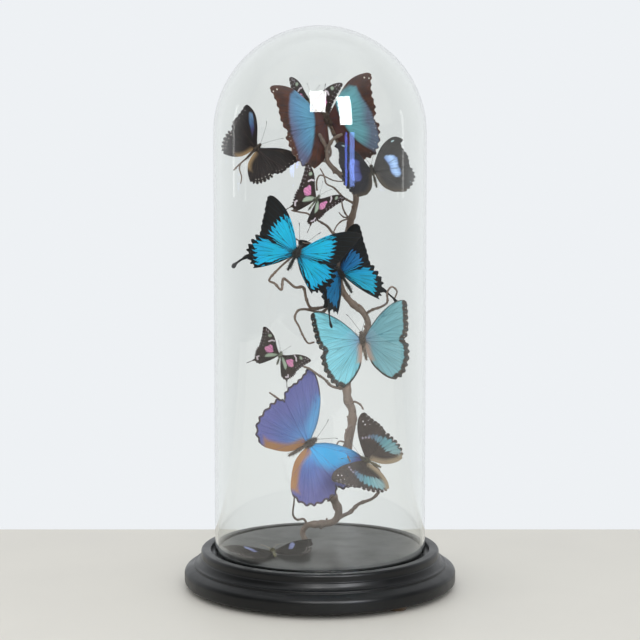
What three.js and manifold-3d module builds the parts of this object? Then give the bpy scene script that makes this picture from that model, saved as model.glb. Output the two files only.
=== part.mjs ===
// Glass dome with twelve butterflies set on a corkscrew hazel branch.
// Millimetres, +Z up. The origin is on the surface that the three feet stand on, under the base's middle.
import * as THREE from 'three';
import { mergeVertices } from 'three/addons/utils/BufferGeometryUtils.js';
import Module from 'manifold-3d';

const wasm = await Module();
wasm.setup();

// Driving dimensions.
const turnedSegments = 40;
const footHeight = 3.7;
const footRadius = 9;
const footRingRadius = 114;
const firstFootAngle = -53;
const footCount = 3;
const footSegments = 14;
const baseBottom = 4;
const baseRadius = 129;
const rimRadius = 113.2;
const grooveOuterRadius = 104;
const grooveInnerRadius = 96.9;
const baseTop = 36;
const grooveDepth = 5;
const glassRadius = 100;
const glassThickness = 2.5;
const domeCentre = 427.5;
const domeArcSteps = 8;
const touchGap = 0.3;
const wingThickness = 0.6;
const wingHinge = 1.5;
const wingCurveSteps = 2;
const twigSides = 6;
const twigStep = 8;
const fewestTwigSteps = 4;
const bodySides = 6;

const degrees = THREE.MathUtils.degToRad;

// Finishes.
function finish(color, roughness) {
  return new THREE.MeshStandardMaterial({ color, roughness });
}

const finishes = {
  blackPaint: () => finish(0x1d1e20, 0.4),
  footPad: () => finish(0x5b4a32, 0.7),
  bark: () => finish(0x7b6a60, 0.85),
  body: () => finish(0x2a221c, 0.9),
};

function glassFinish() {
  const glass = finish(0xe8f0ee, 0.05);
  glass.transparent = true;
  glass.opacity = 0.2;
  return glass;
}

function namedMesh(name, geometry, material) {
  const mesh = new THREE.Mesh(geometry, material);
  mesh.name = name;
  return mesh;
}

// A profile of [radius, height] points turned about the upright axis.
function turned(profile, segments = turnedSegments) {
  const points = profile.map(([radius, height]) => new THREE.Vector2(radius, height));
  return new THREE.LatheGeometry(points, segments).rotateX(Math.PI / 2);
}

// Booleans, for twigs and wings that stop just short of what they grow from.
function solidOf(geometry) {
  const bare = geometry.clone();
  bare.deleteAttribute('normal');
  bare.deleteAttribute('uv');
  const merged = mergeVertices(bare, 1e-3);
  const vertProperties = merged.attributes.position.array;
  const triVerts = new Uint32Array(merged.index.array);
  return new wasm.Manifold(new wasm.Mesh({ numProp: 3, vertProperties, triVerts }));
}

function geometryOf(solid) {
  const { vertProperties, triVerts } = solid.getMesh();
  const geometry = new THREE.BufferGeometry();
  geometry.setAttribute('position', new THREE.BufferAttribute(vertProperties, 3));
  geometry.setIndex(new THREE.BufferAttribute(triVerts, 1));
  geometry.computeVertexNormals();
  return geometry;
}

// The turned base: lower ring, shoulder, cove, rim, the groove for the glass and the raised middle.
function makeBase() {
  const grooveFloor = baseTop - grooveDepth;
  const profile = [
    [0, baseBottom],
    [baseRadius - 3, baseBottom],
    [baseRadius - 0.6, baseBottom + 1.2],
    [baseRadius, baseBottom + 3],
    [baseRadius, 15],
    [baseRadius - 1, 16.8],
    [124.5, 19],
    [121, 20.6],
    [120.2, 22.2],
    [117.6, 23.2],
    [115.4, 25.4],
    [114.4, 28.4],
    [rimRadius, 29],
    [rimRadius, 34.6],
    [rimRadius - 1.2, baseTop],
    [grooveOuterRadius, baseTop],
    [grooveOuterRadius, grooveFloor],
    [grooveInnerRadius, grooveFloor],
    [grooveInnerRadius, baseTop - 0.6],
    [grooveInnerRadius - 0.8, baseTop],
    [0, baseTop],
  ];
  return namedMesh('turned_base', turned(profile), finishes.blackPaint());
}

function makeFoot(index) {
  const angle = degrees(firstFootAngle + (index * 360) / footCount);
  const disc = turned([[0, 0], [footRadius, 0], [footRadius, footHeight], [0, footHeight]], footSegments);
  const foot = namedMesh(`foot_${index + 1}`, disc, finishes.footPad());
  foot.position.set(footRingRadius * Math.cos(angle), footRingRadius * Math.sin(angle), 0);
  return foot;
}

// The dome is a straight wall under half a sphere, open below, and stands in the groove.
function domeArc(radius) {
  const arc = [];
  for (let step = 0; step <= domeArcSteps; step += 1) {
    const angle = (step / domeArcSteps) * (Math.PI / 2);
    arc.push([radius * Math.cos(angle), domeCentre + radius * Math.sin(angle)]);
  }
  arc[domeArcSteps][0] = 0;
  return arc;
}

function makeDome() {
  const bottom = baseTop - grooveDepth + touchGap;
  const innerRadius = glassRadius - glassThickness;
  const inside = domeArc(innerRadius).reverse();
  const profile = [...inside, [innerRadius, bottom], [glassRadius, bottom], ...domeArc(glassRadius)];
  return namedMesh('glass_dome', turned(profile), glassFinish());
}

// A length of branch along its points, thinning from its first end to its last.
function branchSolid({ path, radius, tip = radius }, extra = 0) {
  const curve = new THREE.CatmullRomCurve3(path.map((point) => new THREE.Vector3(...point)));
  const steps = Math.max(fewestTwigSteps, Math.round(curve.getLength() / twigStep));
  const section = new THREE.Shape();
  for (let side = 0; side < twigSides; side += 1) {
    const angle = (side / twigSides) * 2 * Math.PI;
    const corner = [Math.cos(angle), Math.sin(angle)];
    if (side === 0) section.moveTo(...corner);
    else section.lineTo(...corner);
  }
  section.closePath();
  const tube = new THREE.ExtrudeGeometry(section, { steps, extrudePath: curve, bevelEnabled: false });
  const stations = curve.getSpacedPoints(steps);
  const position = tube.attributes.position;
  const corner = new THREE.Vector3();
  for (let index = 0; index < position.count; index += 1) {
    corner.fromBufferAttribute(position, index);
    const distances = stations.map((station) => Math.abs(station.distanceTo(corner) - 1));
    const nearest = distances.indexOf(Math.min(...distances));
    const wide = extra + radius + ((tip - radius) * nearest) / steps;
    corner.sub(stations[nearest]).multiplyScalar(wide).add(stations[nearest]);
    position.setXYZ(index, corner.x, corner.y, corner.z);
  }
  return solidOf(tube);
}

// The branch: the trunk in four lengths, its foot, its fork and its twigs. A piece is cut back where it
// leaves the pieces that it grows from. The points run from the thick end to the thin one.
const branch = {
  branch_foot: {
    path: [[-14, 26, 37], [-17, 28, 43], [-13, 28, 50], [0, 25, 52], [14, 21, 55]],
    radius: 2.2,
    tip: 3.2,
  },
  trunk_lower: {
    path: [[19, 20, 55], [15, 14, 74], [12, 9, 84], [15, 5, 107], [25, 6, 127], [29, 6, 143], [31, 12, 165]],
    radius: 3.6,
    tip: 3.9,
    from: ['branch_foot'],
  },
  trunk_middle: {
    path: [[31, 12, 165], [27, 15, 174], [26, 20, 185], [29, 27, 206], [41, 28.5, 228], [47, 31, 246],
      [41, 34, 259]],
    radius: 4.2,
    tip: 3.8,
    from: ['trunk_lower'],
  },
  trunk_upper: {
    path: [[41, 34, 259], [32, 36, 266], [22, 36, 279], [18, 32.6, 297], [20, 25, 316], [27, 14, 338],
      [34, -2, 369]],
    radius: 3.8,
    tip: 3.2,
    from: ['trunk_middle'],
  },
  trunk_top: {
    path: [[34, -2, 369], [31, 0, 379], [21, 2, 388], [13, 3, 395], [7, 4, 403], [6, 4, 414], [-1, -2, 428]],
    radius: 2.6,
    tip: 1.5,
    from: ['trunk_upper'],
  },
  top_fork: {
    path: [[6, 4, 413], [13, -3, 423], [21, -8, 427]],
    radius: 1.7,
    tip: 1.2,
    from: ['trunk_top'],
  },
  twig_behind_top_morpho: {
    path: [[7, 4, 405], [10, 14, 411], [8, 20, 422], [6, 19.6, 437]],
    radius: 1.3,
    tip: 1,
    from: ['trunk_top', 'top_fork'],
  },
  twig_to_top_swallowtail: {
    path: [[8, 20, 421], [4, 31, 427], [-1, 41, 434], [-7, 45, 447], [-9, 41.7, 460]],
    radius: 1,
    tip: 0.8,
    from: ['twig_behind_top_morpho'],
  },
  twig_to_violet_streaked_brown: {
    path: [[7, 4, 402], [3, 13, 403], [-8, 18, 404], [-26, 18, 405], [-44, 16, 408], [-60, 15, 415],
      [-70, 18, 406], [-77, 18, 400], [-83, 17, 394]],
    radius: 1.2,
    tip: 0.7,
    from: ['trunk_top'],
  },
  twig_to_hook_tipped_black: {
    path: [[34, -2, 371], [39, -12, 378], [45, -20, 386], [47.6, -25, 391]],
    radius: 1.2,
    tip: 0.9,
    from: ['trunk_upper', 'trunk_top'],
  },
  twig_to_middle_swallowtail: {
    path: [[26, 15, 334], [19, 8, 332], [12, 3, 335], [7, -3, 341], [-1, -10, 346], [-8, -18, 350.5],
      [-12, -21.4, 353], [-18, -17.5, 354], [-27, -13.5, 356]],
    radius: 1.2,
    tip: 0.8,
    from: ['trunk_upper'],
  },
  curly_left_twig: {
    path: [[22, 35, 279], [14, 27, 268], [4, 18, 264], [-9, 6, 264], [-13, 0, 273], [-16, -6, 284],
      [-23, -10, 284], [-34, -14, 292], [-36, -18, 282], [-42, -20, 288], [-47, -24, 291], [-37, -29, 303],
      [-26, -35, 313], [-21, -40, 319]],
    radius: 1.5,
    tip: 0.9,
    from: ['trunk_upper'],
  },
  left_loop_twig: {
    path: [[9, 23, 265], [2, 19, 259], [-14, 14, 262], [-21, 10, 261], [-24, 8, 254], [-20, 6, 246],
      [-16, 6, 237], [-11, 8, 230], [-5, 10, 231]],
    radius: 1.2,
    tip: 0.9,
    from: ['curly_left_twig'],
  },
  twig_to_left_swallowtail: {
    path: [[27, 20, 185], [19, 17.5, 186], [11, 8, 189], [5, -2, 196], [-2, -12, 202], [-10, -16, 208],
      [-22, -20, 213], [-35, -17.6, 221]],
    radius: 1.4,
    tip: 0.7,
    from: ['trunk_middle'],
  },
  twig_behind_violet_morpho: {
    path: [[19, 5, 115], [8, -2, 119], [-3, -12, 127], [-12, -20.8, 139], [-20, -22, 156],
      [-34, -28, 177], [-47, -34, 188]],
    radius: 1.6,
    tip: 0.8,
    from: ['trunk_lower'],
  },
  lower_right_twig: {
    path: [[18, 19, 59], [29, 14, 66], [37, 8, 75], [50, 0, 82], [56, -6, 90], [59, -12, 102], [54, -17, 114],
      [45, -19, 122]],
    radius: 1.6,
    tip: 0.9,
    from: ['trunk_lower'],
  },
  lower_left_twig: {
    path: [[-12, 28, 50], [-16, 25, 57], [-22, 22, 57], [-26, 18, 62], [-25, 10, 77], [-24, 2, 90]],
    radius: 1,
    tip: 0.7,
    from: ['branch_foot'],
  },
  right_curl_twig: {
    path: [[44, 34, 256], [51, 26, 261], [58, 16, 264], [64, 8, 269], [64, 4, 279], [68, 2, 284],
      [73, 4, 280], [71, 8, 272]],
    radius: 1.2,
    tip: 0.8,
    from: ['trunk_middle', 'trunk_upper'],
  },
  long_thin_twig: {
    path: [[31, -2, 363], [22, -8, 368], [13, -8, 377], [6, -4, 381], [4, 1, 388], [0, 8, 396]],
    radius: 1,
    tip: 0.7,
    from: ['trunk_upper'],
  },
};

function makeBranch() {
  const group = new THREE.Group();
  for (const [name, piece] of Object.entries(branch)) {
    let solid = branchSolid(piece);
    for (const parent of piece.from ?? []) {
      solid = solid.subtract(branchSolid(branch[parent], touchGap));
    }
    group.add(namedMesh(name, geometryOf(solid), finishes.bark()));
  }
  return group;
}

// Wing outlines for one side, as parts of the fore wing's length: across from the body, then towards the
// head. The leading edge runs from the root to the fore wing's tip, the outer edge down to the step between
// the two wings, the hind edge round the hind wing, and the inner edge back beside the body.
const outlines = {
  brownBanded: {
    leading: [[0.03, 0.02], [0.25, 0.27], [0.55, 0.51], [0.90, 0.58]],
    outer: [[0.86, 0.20], [0.81, -0.07]],
    hind: [[0.86, -0.12], [0.82, -0.39], [0.63, -0.66], [0.39, -0.67]],
    inner: [[0.09, -0.44], [0.03, -0.12]],
  },
  paleMorpho: {
    leading: [[0.02, 0.00], [0.22, 0.26], [0.52, 0.55], [0.84, 0.66]],
    outer: [[0.87, 0.32], [0.77, -0.02]],
    hind: [[0.83, -0.18], [0.78, -0.47], [0.58, -0.74], [0.30, -0.71]],
    inner: [[0.07, -0.41], [0.03, -0.12]],
  },
  violetMorpho: {
    leading: [[0.04, 0.03], [0.23, 0.30], [0.51, 0.52], [0.90, 0.61]],
    outer: [[0.88, 0.28], [0.81, -0.03]],
    hind: [[0.82, -0.16], [0.77, -0.47], [0.62, -0.67], [0.37, -0.71]],
    inner: [[0.08, -0.44], [0.03, -0.12]],
  },
  blueSwallowtail: {
    leading: [[0.02, 0.05], [0.19, 0.32], [0.48, 0.59], [0.80, 0.64]],
    outer: [[0.76, 0.30], [0.66, -0.01]],
    hind: [[0.66, -0.13], [0.69, -0.34], [0.66, -0.51], [0.66, -0.90], [0.56, -0.60], [0.35, -0.66]],
    inner: [[0.15, -0.37], [0.03, -0.12]],
  },
  pinkSwallowtail: {
    leading: [[0.05, 0.03], [0.24, 0.25], [0.49, 0.48], [0.88, 0.58]],
    outer: [[0.74, 0.24], [0.61, -0.06]],
    hind: [[0.62, -0.23], [0.55, -0.43], [0.45, -0.61], [0.53, -0.83], [0.38, -0.64], [0.26, -0.65]],
    inner: [[0.09, -0.34], [0.03, -0.12]],
  },
  darkBrown: {
    leading: [[0.05, 0.04], [0.25, 0.28], [0.52, 0.53], [0.88, 0.59]],
    outer: [[0.85, 0.24], [0.72, -0.07]],
    hind: [[0.77, -0.19], [0.68, -0.49], [0.51, -0.63], [0.30, -0.59]],
    inner: [[0.09, -0.43], [0.03, -0.12]],
  },
  hookTip: {
    leading: [[0.03, 0.02], [0.18, 0.31], [0.48, 0.57], [0.86, 0.51]],
    outer: [[0.82, 0.19], [0.77, -0.09]],
    hind: [[0.81, -0.16], [0.78, -0.42], [0.54, -0.65], [0.25, -0.62]],
    inner: [[0.08, -0.41], [0.03, -0.12]],
  },
  bandedBrown: {
    leading: [[0.02, 0.02], [0.24, 0.29], [0.52, 0.51], [0.89, 0.57]],
    outer: [[0.84, 0.26], [0.76, 0.00]],
    hind: [[0.74, -0.14], [0.67, -0.48], [0.49, -0.69], [0.29, -0.66]],
    inner: [[0.09, -0.39], [0.03, -0.12]],
  },
};

const wingColours = {
  brownBanded: 0x5d93b5,
  paleMorpho: 0x83c6d6,
  violetMorpho: 0x6c78c4,
  blueSwallowtail: 0x1f9fe0,
  pinkSwallowtail: 0x3a2a2a,
  darkBrown: 0x2b2024,
  hookTip: 0x2a2a38,
  bandedBrown: 0x4a6f80,
};

function wingPlate(outline, length, swing, side) {
  const cos = Math.cos(degrees(swing));
  const sin = Math.sin(degrees(swing));
  const place = ([across, ahead]) => {
    const x = length * (across * cos - ahead * sin);
    const y = length * (across * sin + ahead * cos);
    return new THREE.Vector2(side * x, y);
  };
  const shape = new THREE.Shape();
  const [root, ...leadingEdge] = outline.leading.map(place);
  shape.moveTo(root.x, root.y);
  shape.splineThru(leadingEdge);
  for (const edge of [outline.outer, outline.hind, outline.inner]) {
    for (const point of edge.map(place)) shape.lineTo(point.x, point.y);
  }
  shape.closePath();
  const settings = { depth: wingThickness, bevelEnabled: false, curveSegments: wingCurveSteps };
  return new THREE.ExtrudeGeometry(shape, settings).translate(0, 0, -wingThickness / 2);
}

// A body along +Y, from the end of the abdomen to the head. extra makes it that much fatter.
function bodySolid(length, extra = 0) {
  const profile = [
    [0, -0.4],
    [0.018, -0.38],
    [0.03, -0.22],
    [0.02, -0.1],
    [0.042, -0.02],
    [0.038, 0.06],
    [0.02, 0.09],
    [0.026, 0.12],
    [0, 0.145],
  ];
  const last = profile.length - 1;
  const points = profile.map(([radius, along], index) => {
    const wide = index === 0 || index === last ? 0 : radius * length + extra;
    const past = index === 0 ? -extra : index === last ? extra : 0;
    return new THREE.Vector2(wide, along * length + past);
  });
  return new THREE.LatheGeometry(points, bodySides);
}

// One butterfly: its body and its two pairs of wings. The angles are in degrees. At 0 its head is up
// and its back faces -Y. turn is about Z, tip about X, then spin about Y. A wing's lift is towards
// the back, and its swing is in its own plane, towards the head.
function makeButterfly({ name, kind, length, at, turn, tip, spin, lift, swing }) {
  const turnGroup = new THREE.Group();
  turnGroup.position.set(...at);
  turnGroup.rotation.z = degrees(turn);
  const tipGroup = new THREE.Group();
  tipGroup.rotation.x = degrees(tip);
  const spinGroup = new THREE.Group();
  spinGroup.rotation.y = degrees(spin);
  const insect = new THREE.Group();
  insect.rotation.x = Math.PI / 2;
  turnGroup.add(tipGroup);
  tipGroup.add(spinGroup);
  spinGroup.add(insect);
  insect.add(namedMesh(`${name}_body`, bodySolid(length), finishes.body()));
  for (const [index, side, word] of [[0, -1, 'left'], [1, 1, 'right']]) {
    const plate = wingPlate(outlines[kind], length, swing[index], side);
    plate.rotateY(-side * degrees(lift[index])).translate(side * wingHinge, 0, 0);
    const clear = solidOf(plate).subtract(solidOf(bodySolid(length, touchGap)));
    insect.add(namedMesh(`${name}_${word}_wings`, geometryOf(clear), finish(wingColours[kind], 0.5)));
  }
  return turnGroup;
}

// Where each butterfly sits: length is the fore wing's, and lift and swing are left, then right.
const butterflies = [
  {
    name: 'brown_banded_morpho', kind: 'brownBanded', length: 64, at: [7, 15, 442],
    turn: 2, tip: 9, spin: -25, lift: [42, 37], swing: [15, -12],
  },
  {
    name: 'top_pink_swallowtail', kind: 'pinkSwallowtail', length: 33, at: [-9, 38, 462],
    turn: 8, tip: 13, spin: 7, lift: [31, 26], swing: [1, 3],
  },
  {
    name: 'violet_streaked_brown', kind: 'darkBrown', length: 40, at: [-60, 12, 415],
    turn: -3, tip: 7, spin: 46, lift: [23, 21], swing: [-2, -3],
  },
  {
    name: 'hook_tipped_black', kind: 'hookTip', length: 42, at: [48, -28, 392],
    turn: 12, tip: -22, spin: -10, lift: [21, 7], swing: [4, 3],
  },
  {
    name: 'middle_pink_swallowtail', kind: 'pinkSwallowtail', length: 33, at: [-3, -26, 366],
    turn: -27, tip: -12, spin: 38, lift: [2, 21], swing: [-3, -2],
  },
  {
    name: 'large_blue_swallowtail', kind: 'blueSwallowtail', length: 57, at: [-21, -44, 317],
    turn: -11, tip: 30, spin: 29, lift: [-4, -7], swing: [6, 7],
  },
  {
    name: 'right_blue_swallowtail', kind: 'blueSwallowtail', length: 56, at: [20, 26, 296],
    turn: 8, tip: 3, spin: -31, lift: [48, 44], swing: [20, 0],
  },
  {
    name: 'pale_blue_morpho', kind: 'paleMorpho', length: 55, at: [41, 20, 233],
    turn: 1, tip: 8, spin: -11, lift: [25, 25], swing: [3, -2],
  },
  {
    name: 'left_pink_swallowtail', kind: 'pinkSwallowtail', length: 33, at: [-37, -20, 221],
    turn: -21, tip: 29, spin: 28, lift: [13, 20], swing: [17, -3],
  },
  {
    name: 'violet_morpho', kind: 'violetMorpho', length: 63, at: [-10, -25, 139],
    turn: 32, tip: -12, spin: 67, lift: [3, 9], swing: [-4, 5],
  },
  {
    name: 'blue_banded_brown', kind: 'bandedBrown', length: 41, at: [43, -22, 123],
    turn: 13, tip: -12, spin: -62, lift: [28, 19], swing: [-1, -3],
  },
  {
    name: 'floor_butterfly', kind: 'darkBrown', length: 44, at: [-44, -31, 38.4],
    turn: 10, tip: -90, spin: 0, lift: [2, 10], swing: [-8, 0],
  },
];

const part = new THREE.Group();
part.add(makeBase());
for (let index = 0; index < footCount; index += 1) part.add(makeFoot(index));
part.add(makeDome());
part.add(makeBranch());
for (const butterfly of butterflies) part.add(makeButterfly(butterfly));

export default part;
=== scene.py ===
import math
from functools import partial

import bpy
import numpy as np
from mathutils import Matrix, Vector, geometry, kdtree, noise


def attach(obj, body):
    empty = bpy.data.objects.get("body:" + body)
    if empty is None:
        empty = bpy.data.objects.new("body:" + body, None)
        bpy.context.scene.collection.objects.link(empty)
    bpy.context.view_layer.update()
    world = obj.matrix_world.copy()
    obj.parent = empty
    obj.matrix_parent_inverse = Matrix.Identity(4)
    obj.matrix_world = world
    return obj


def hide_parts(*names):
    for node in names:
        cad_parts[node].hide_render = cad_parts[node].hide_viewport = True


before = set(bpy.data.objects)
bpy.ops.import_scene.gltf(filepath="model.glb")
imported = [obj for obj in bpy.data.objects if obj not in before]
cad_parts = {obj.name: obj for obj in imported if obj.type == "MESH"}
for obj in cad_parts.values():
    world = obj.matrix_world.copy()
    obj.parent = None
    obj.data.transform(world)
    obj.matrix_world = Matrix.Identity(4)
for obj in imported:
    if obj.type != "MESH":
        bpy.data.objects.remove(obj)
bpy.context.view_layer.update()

mm = 0.001
body = "root"


def linear(hexText):
    channels = [int(hexText[at:at + 2], 16) / 255 for at in (1, 3, 5)]
    return tuple(c / 12.92 if c <= 0.04045 else ((c + 0.055) / 1.055) ** 2.4 for c in channels) + (1.0,)


# A kind can name its mode after a space. A setting is one of the node's own, an input's value or hex colour,
# a node or socket to link, a colour ramp's stops, or a map range's four ends.
def addNode(tree, kind, settings=None):
    kind, _, mode = kind.partition(" ")
    node = tree.nodes.new(kind if kind.startswith(("Geometry", "Function", "NodeGroup")) else "ShaderNode" + kind)
    if mode:
        setattr(node, "data_type" if kind == "Mix" else "operation", mode)
    for name, value in (settings or {}).items():
        if isinstance(value, bpy.types.Node):
            value = next(socket for socket in value.outputs if socket.enabled)
        if name == "stops":
            while len(node.color_ramp.elements) < len(value):
                node.color_ramp.elements.new(1.0)
            for element, (position, colour) in zip(node.color_ramp.elements, value):
                element.position, element.color = position, linear(colour)
        elif name == "range":
            for at, end in enumerate(value, 1):
                node.inputs[at].default_value = end
        elif isinstance(value, bpy.types.NodeSocket):
            tree.links.new(value, node.inputs[name])
        elif isinstance(name, str) and hasattr(node, name):
            setattr(node, name, value)
        else:
            node.inputs[name].default_value = linear(value) if str(value).startswith("#") else value
    return node


def newMaterial(name):
    material = bpy.data.materials.new(name)
    material.use_nodes = True
    material.node_tree.nodes.clear()
    return material, partial(addNode, material.node_tree)


def newMesh(name, points, faces, materials, fields=None, faceMaterials=None):
    mesh = bpy.data.meshes.new(name)
    mesh.from_pydata(np.asarray(points).tolist(), [], faces if isinstance(faces, list) else faces.tolist())
    for material in materials:
        mesh.materials.append(material)
    for field, values in (fields or {}).items():
        values = np.asarray(values, float)
        attribute = mesh.attributes.new(field, "FLOAT_VECTOR" if values.ndim == 2 else "FLOAT", "POINT")
        attribute.data.foreach_set("vector" if values.ndim == 2 else "value", values.ravel())
    mesh.polygons.foreach_set("use_smooth", [True] * len(mesh.polygons))
    if faceMaterials is not None:
        mesh.polygons.foreach_set("material_index", faceMaterials)
    mesh.update()
    return mesh


def addPiece(name, mesh, nodes=()):
    piece = bpy.data.objects.new(name, mesh)
    bpy.context.scene.collection.objects.link(piece)
    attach(piece, body)
    if nodes:
        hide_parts(*nodes)
    return piece


# Curves and distances, in numpy arrays of points.
def runLengths(curve):
    return np.concatenate([[0], np.cumsum(np.linalg.norm(np.diff(curve, axis=0), axis=1))])


def evenly(curve, spacing):
    run = runLengths(curve)
    at = np.linspace(0, run[-1], max(3, int(round(run[-1] / spacing)) + 1))
    return np.column_stack([np.interp(at, run, column) for column in curve.T])


def alongCurve(curve, share):
    run = runLengths(curve)
    return np.array([np.interp(share * run[-1], run, column) for column in curve.T])


def smoothCurve(points, spacing, fineSteps=40):
    given = np.array(points, float)
    padded = np.vstack([2 * given[0] - given[1], given, 2 * given[-1] - given[-2]])
    parts = []
    for a, b, c, d in zip(padded[:-3], padded[1:-2], padded[2:-1], padded[3:]):
        before, here, after = (max(np.linalg.norm(v) ** 0.5, 1e-4) for v in (b - a, c - b, d - c))
        start = ((b - a) / before - (c - a) / (before + here) + (c - b) / here) * here
        end = ((c - b) / here - (d - b) / (here + after) + (d - c) / after) * here
        t = np.linspace(0, 1, fineSteps, endpoint=False)[:, None]
        parts.append(b + start * t + (3 * (c - b) - 2 * start - end) * t**2 + (2 * (b - c) + start + end) * t**3)
    return evenly(np.vstack(parts + [given[-1:]]), spacing)


def distanceTo(points, line):
    starts, ends = line[:-1], line[1:]
    spans = ends - starts
    lengths = np.maximum((spans**2).sum(1), 1e-14)
    share = np.clip(((points[:, None] - starts) * spans).sum(2) / lengths, 0, 1)
    return np.sqrt(((points[:, None] - (starts + share[..., None] * spans)) ** 2).sum(2)).min(1)


def outline(numbers):  # x, y, x, y and so on, in thousandths
    return np.array(numbers, float).reshape(-1, 2) / 1000


def isInside(points, loop):
    x, y = points.T
    inside = np.zeros(len(points), bool)
    for (x0, y0), (x1, y1) in zip(loop, np.roll(loop, -1, axis=0)):
        if y0 != y1:
            inside ^= ((y0 > y) != (y1 > y)) & (x < (x1 - x0) * (y - y0) / (y1 - y0) + x0)
    return inside


def depthInside(points, loop):
    return np.where(isInside(points, loop), 1, -1) * distanceTo(points, np.vstack([loop, loop[:1]]))


def turnedShell(profile, segments):
    profile = np.array(profile, float)
    angles = np.arange(segments) * 2 * math.pi / segments
    points, faces, rows = [], [], []
    for radius, height in profile:
        if radius < 1e-9:
            rows.append([len(points)] * segments)
            points.append((0, 0, height))
        else:
            rows.append(list(range(len(points), len(points) + segments)))
            points += [(radius * math.cos(a), radius * math.sin(a), height) for a in angles]
    for lower, upper in zip(rows, rows[1:]):
        for at in range(segments):
            after = (at + 1) % segments
            corners = [lower[at], lower[after], upper[after], upper[at]]
            faces.append(list(dict.fromkeys(corners)))
    return np.array(points), faces


def roundedProfile(corners, steps=5):
    out = [corners[0][:2]]
    for before, (x, y, radius), after in zip(corners, corners[1:-1], corners[2:]):
        corner = np.array([x, y], float)
        toBefore, toAfter = np.array(before[:2]) - corner, np.array(after[:2]) - corner
        reachBefore, reachAfter = np.linalg.norm(toBefore), np.linalg.norm(toAfter)
        cut = min(radius, reachBefore * 0.49, reachAfter * 0.49)
        start, end = corner + toBefore / reachBefore * cut, corner + toAfter / reachAfter * cut
        if cut < 1e-6:
            out.append((x, y))
            continue
        for t in np.linspace(0, 1, steps):
            out.append(tuple((1 - t) ** 2 * start + 2 * t * (1 - t) * corner + t * t * end))
    return out + [corners[-1][:2]]


# Geometry nodes that set one small shape all over a surface, each copy leaning and sized a little differently.
def makeGrowthTree(name, rule):
    tree = bpy.data.node_groups.new(name, "GeometryNodeTree")
    sockets = {"Geometry": "Geometry", "density": "Float", "gap": "Float", "length": "Float", "radius": "Float",
               "layBack": "Vector", "seed": "Int", "material": "Material"}
    for label, kind in sockets.items():
        tree.interface.new_socket(label, in_out="INPUT", socket_type="NodeSocket" + kind)
    tree.interface.new_socket("Geometry", in_out="OUTPUT", socket_type="NodeSocketGeometry")
    add = partial(addNode, tree)
    given = add("NodeGroupInput").outputs
    isHair = rule["shape"] == "hair"
    spread = {"distribute_method": "RANDOM" if isHair else "POISSON", "Seed": given["seed"],
              "Mesh": given["Geometry"]}
    if isHair:
        share = add("GeometryNodeInputNamedAttribute", {"data_type": "FLOAT", "Name": "furShare"})
        spread["Density"] = add("Math MULTIPLY", {0: given["density"], 1: share})
        shape = add("GeometryNodeMeshCone", {"Vertices": 3, "Side Segments": 1, "Radius Top": 0.0,
                                             "Radius Bottom": given["radius"], "Depth": given["length"]})
    else:
        spread |= {"Distance Min": given["gap"], "Density Max": given["density"]}
        ball = add("GeometryNodeMeshUVSphere", {"Segments": 8, "Rings": 5, "Radius": given["radius"]})
        shape = add("GeometryNodeTransform", {"Scale": rule["stretch"], "Geometry": ball})
    roots = add("GeometryNodeDistributePointsOnFaces", spread)
    low, high = rule["lean"]
    lean = add("FunctionNodeRandomValue", {"data_type": "FLOAT_VECTOR", 0: low, 1: high, "Seed": given["seed"]})
    away = add("VectorMath ADD", {0: roots.outputs["Normal"], 1: given["layBack"]})
    pointing = add("VectorMath ADD", {0: away, 1: lean})
    turned = add("FunctionNodeAlignRotationToVector", {"axis": "Z", "Vector": pointing})
    low, high = rule["sizes"]
    size = add("FunctionNodeRandomValue", {"data_type": "FLOAT", 2: low, 3: high, "Seed": given["seed"]})
    placed = add("GeometryNodeInstanceOnPoints",
                 {"Points": roots, "Instance": shape, "Rotation": turned, "Scale": size})
    real = add("GeometryNodeRealizeInstances", {"Geometry": placed})
    painted = add("GeometryNodeSetMaterial", {"Geometry": real, "Material": given["material"]})
    add("NodeGroupOutput", {"Geometry": painted})
    return tree


def runTree(name, mesh, tree, values):
    source = bpy.data.objects.new(name + "Source", mesh)
    bpy.context.scene.collection.objects.link(source)
    modifier = source.modifiers.new("growth", "NODES")
    modifier.node_group = tree
    for socket in tree.interface.items_tree:
        if socket.item_type == "SOCKET" and socket.in_out == "INPUT" and socket.name in values:
            modifier[socket.identifier] = values[socket.name]
    bpy.context.view_layer.update()
    grown = bpy.data.meshes.new_from_object(source.evaluated_get(bpy.context.evaluated_depsgraph_get()))
    source.modifiers.remove(modifier)
    bpy.data.objects.remove(source)
    grown.name = name
    return grown


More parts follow.
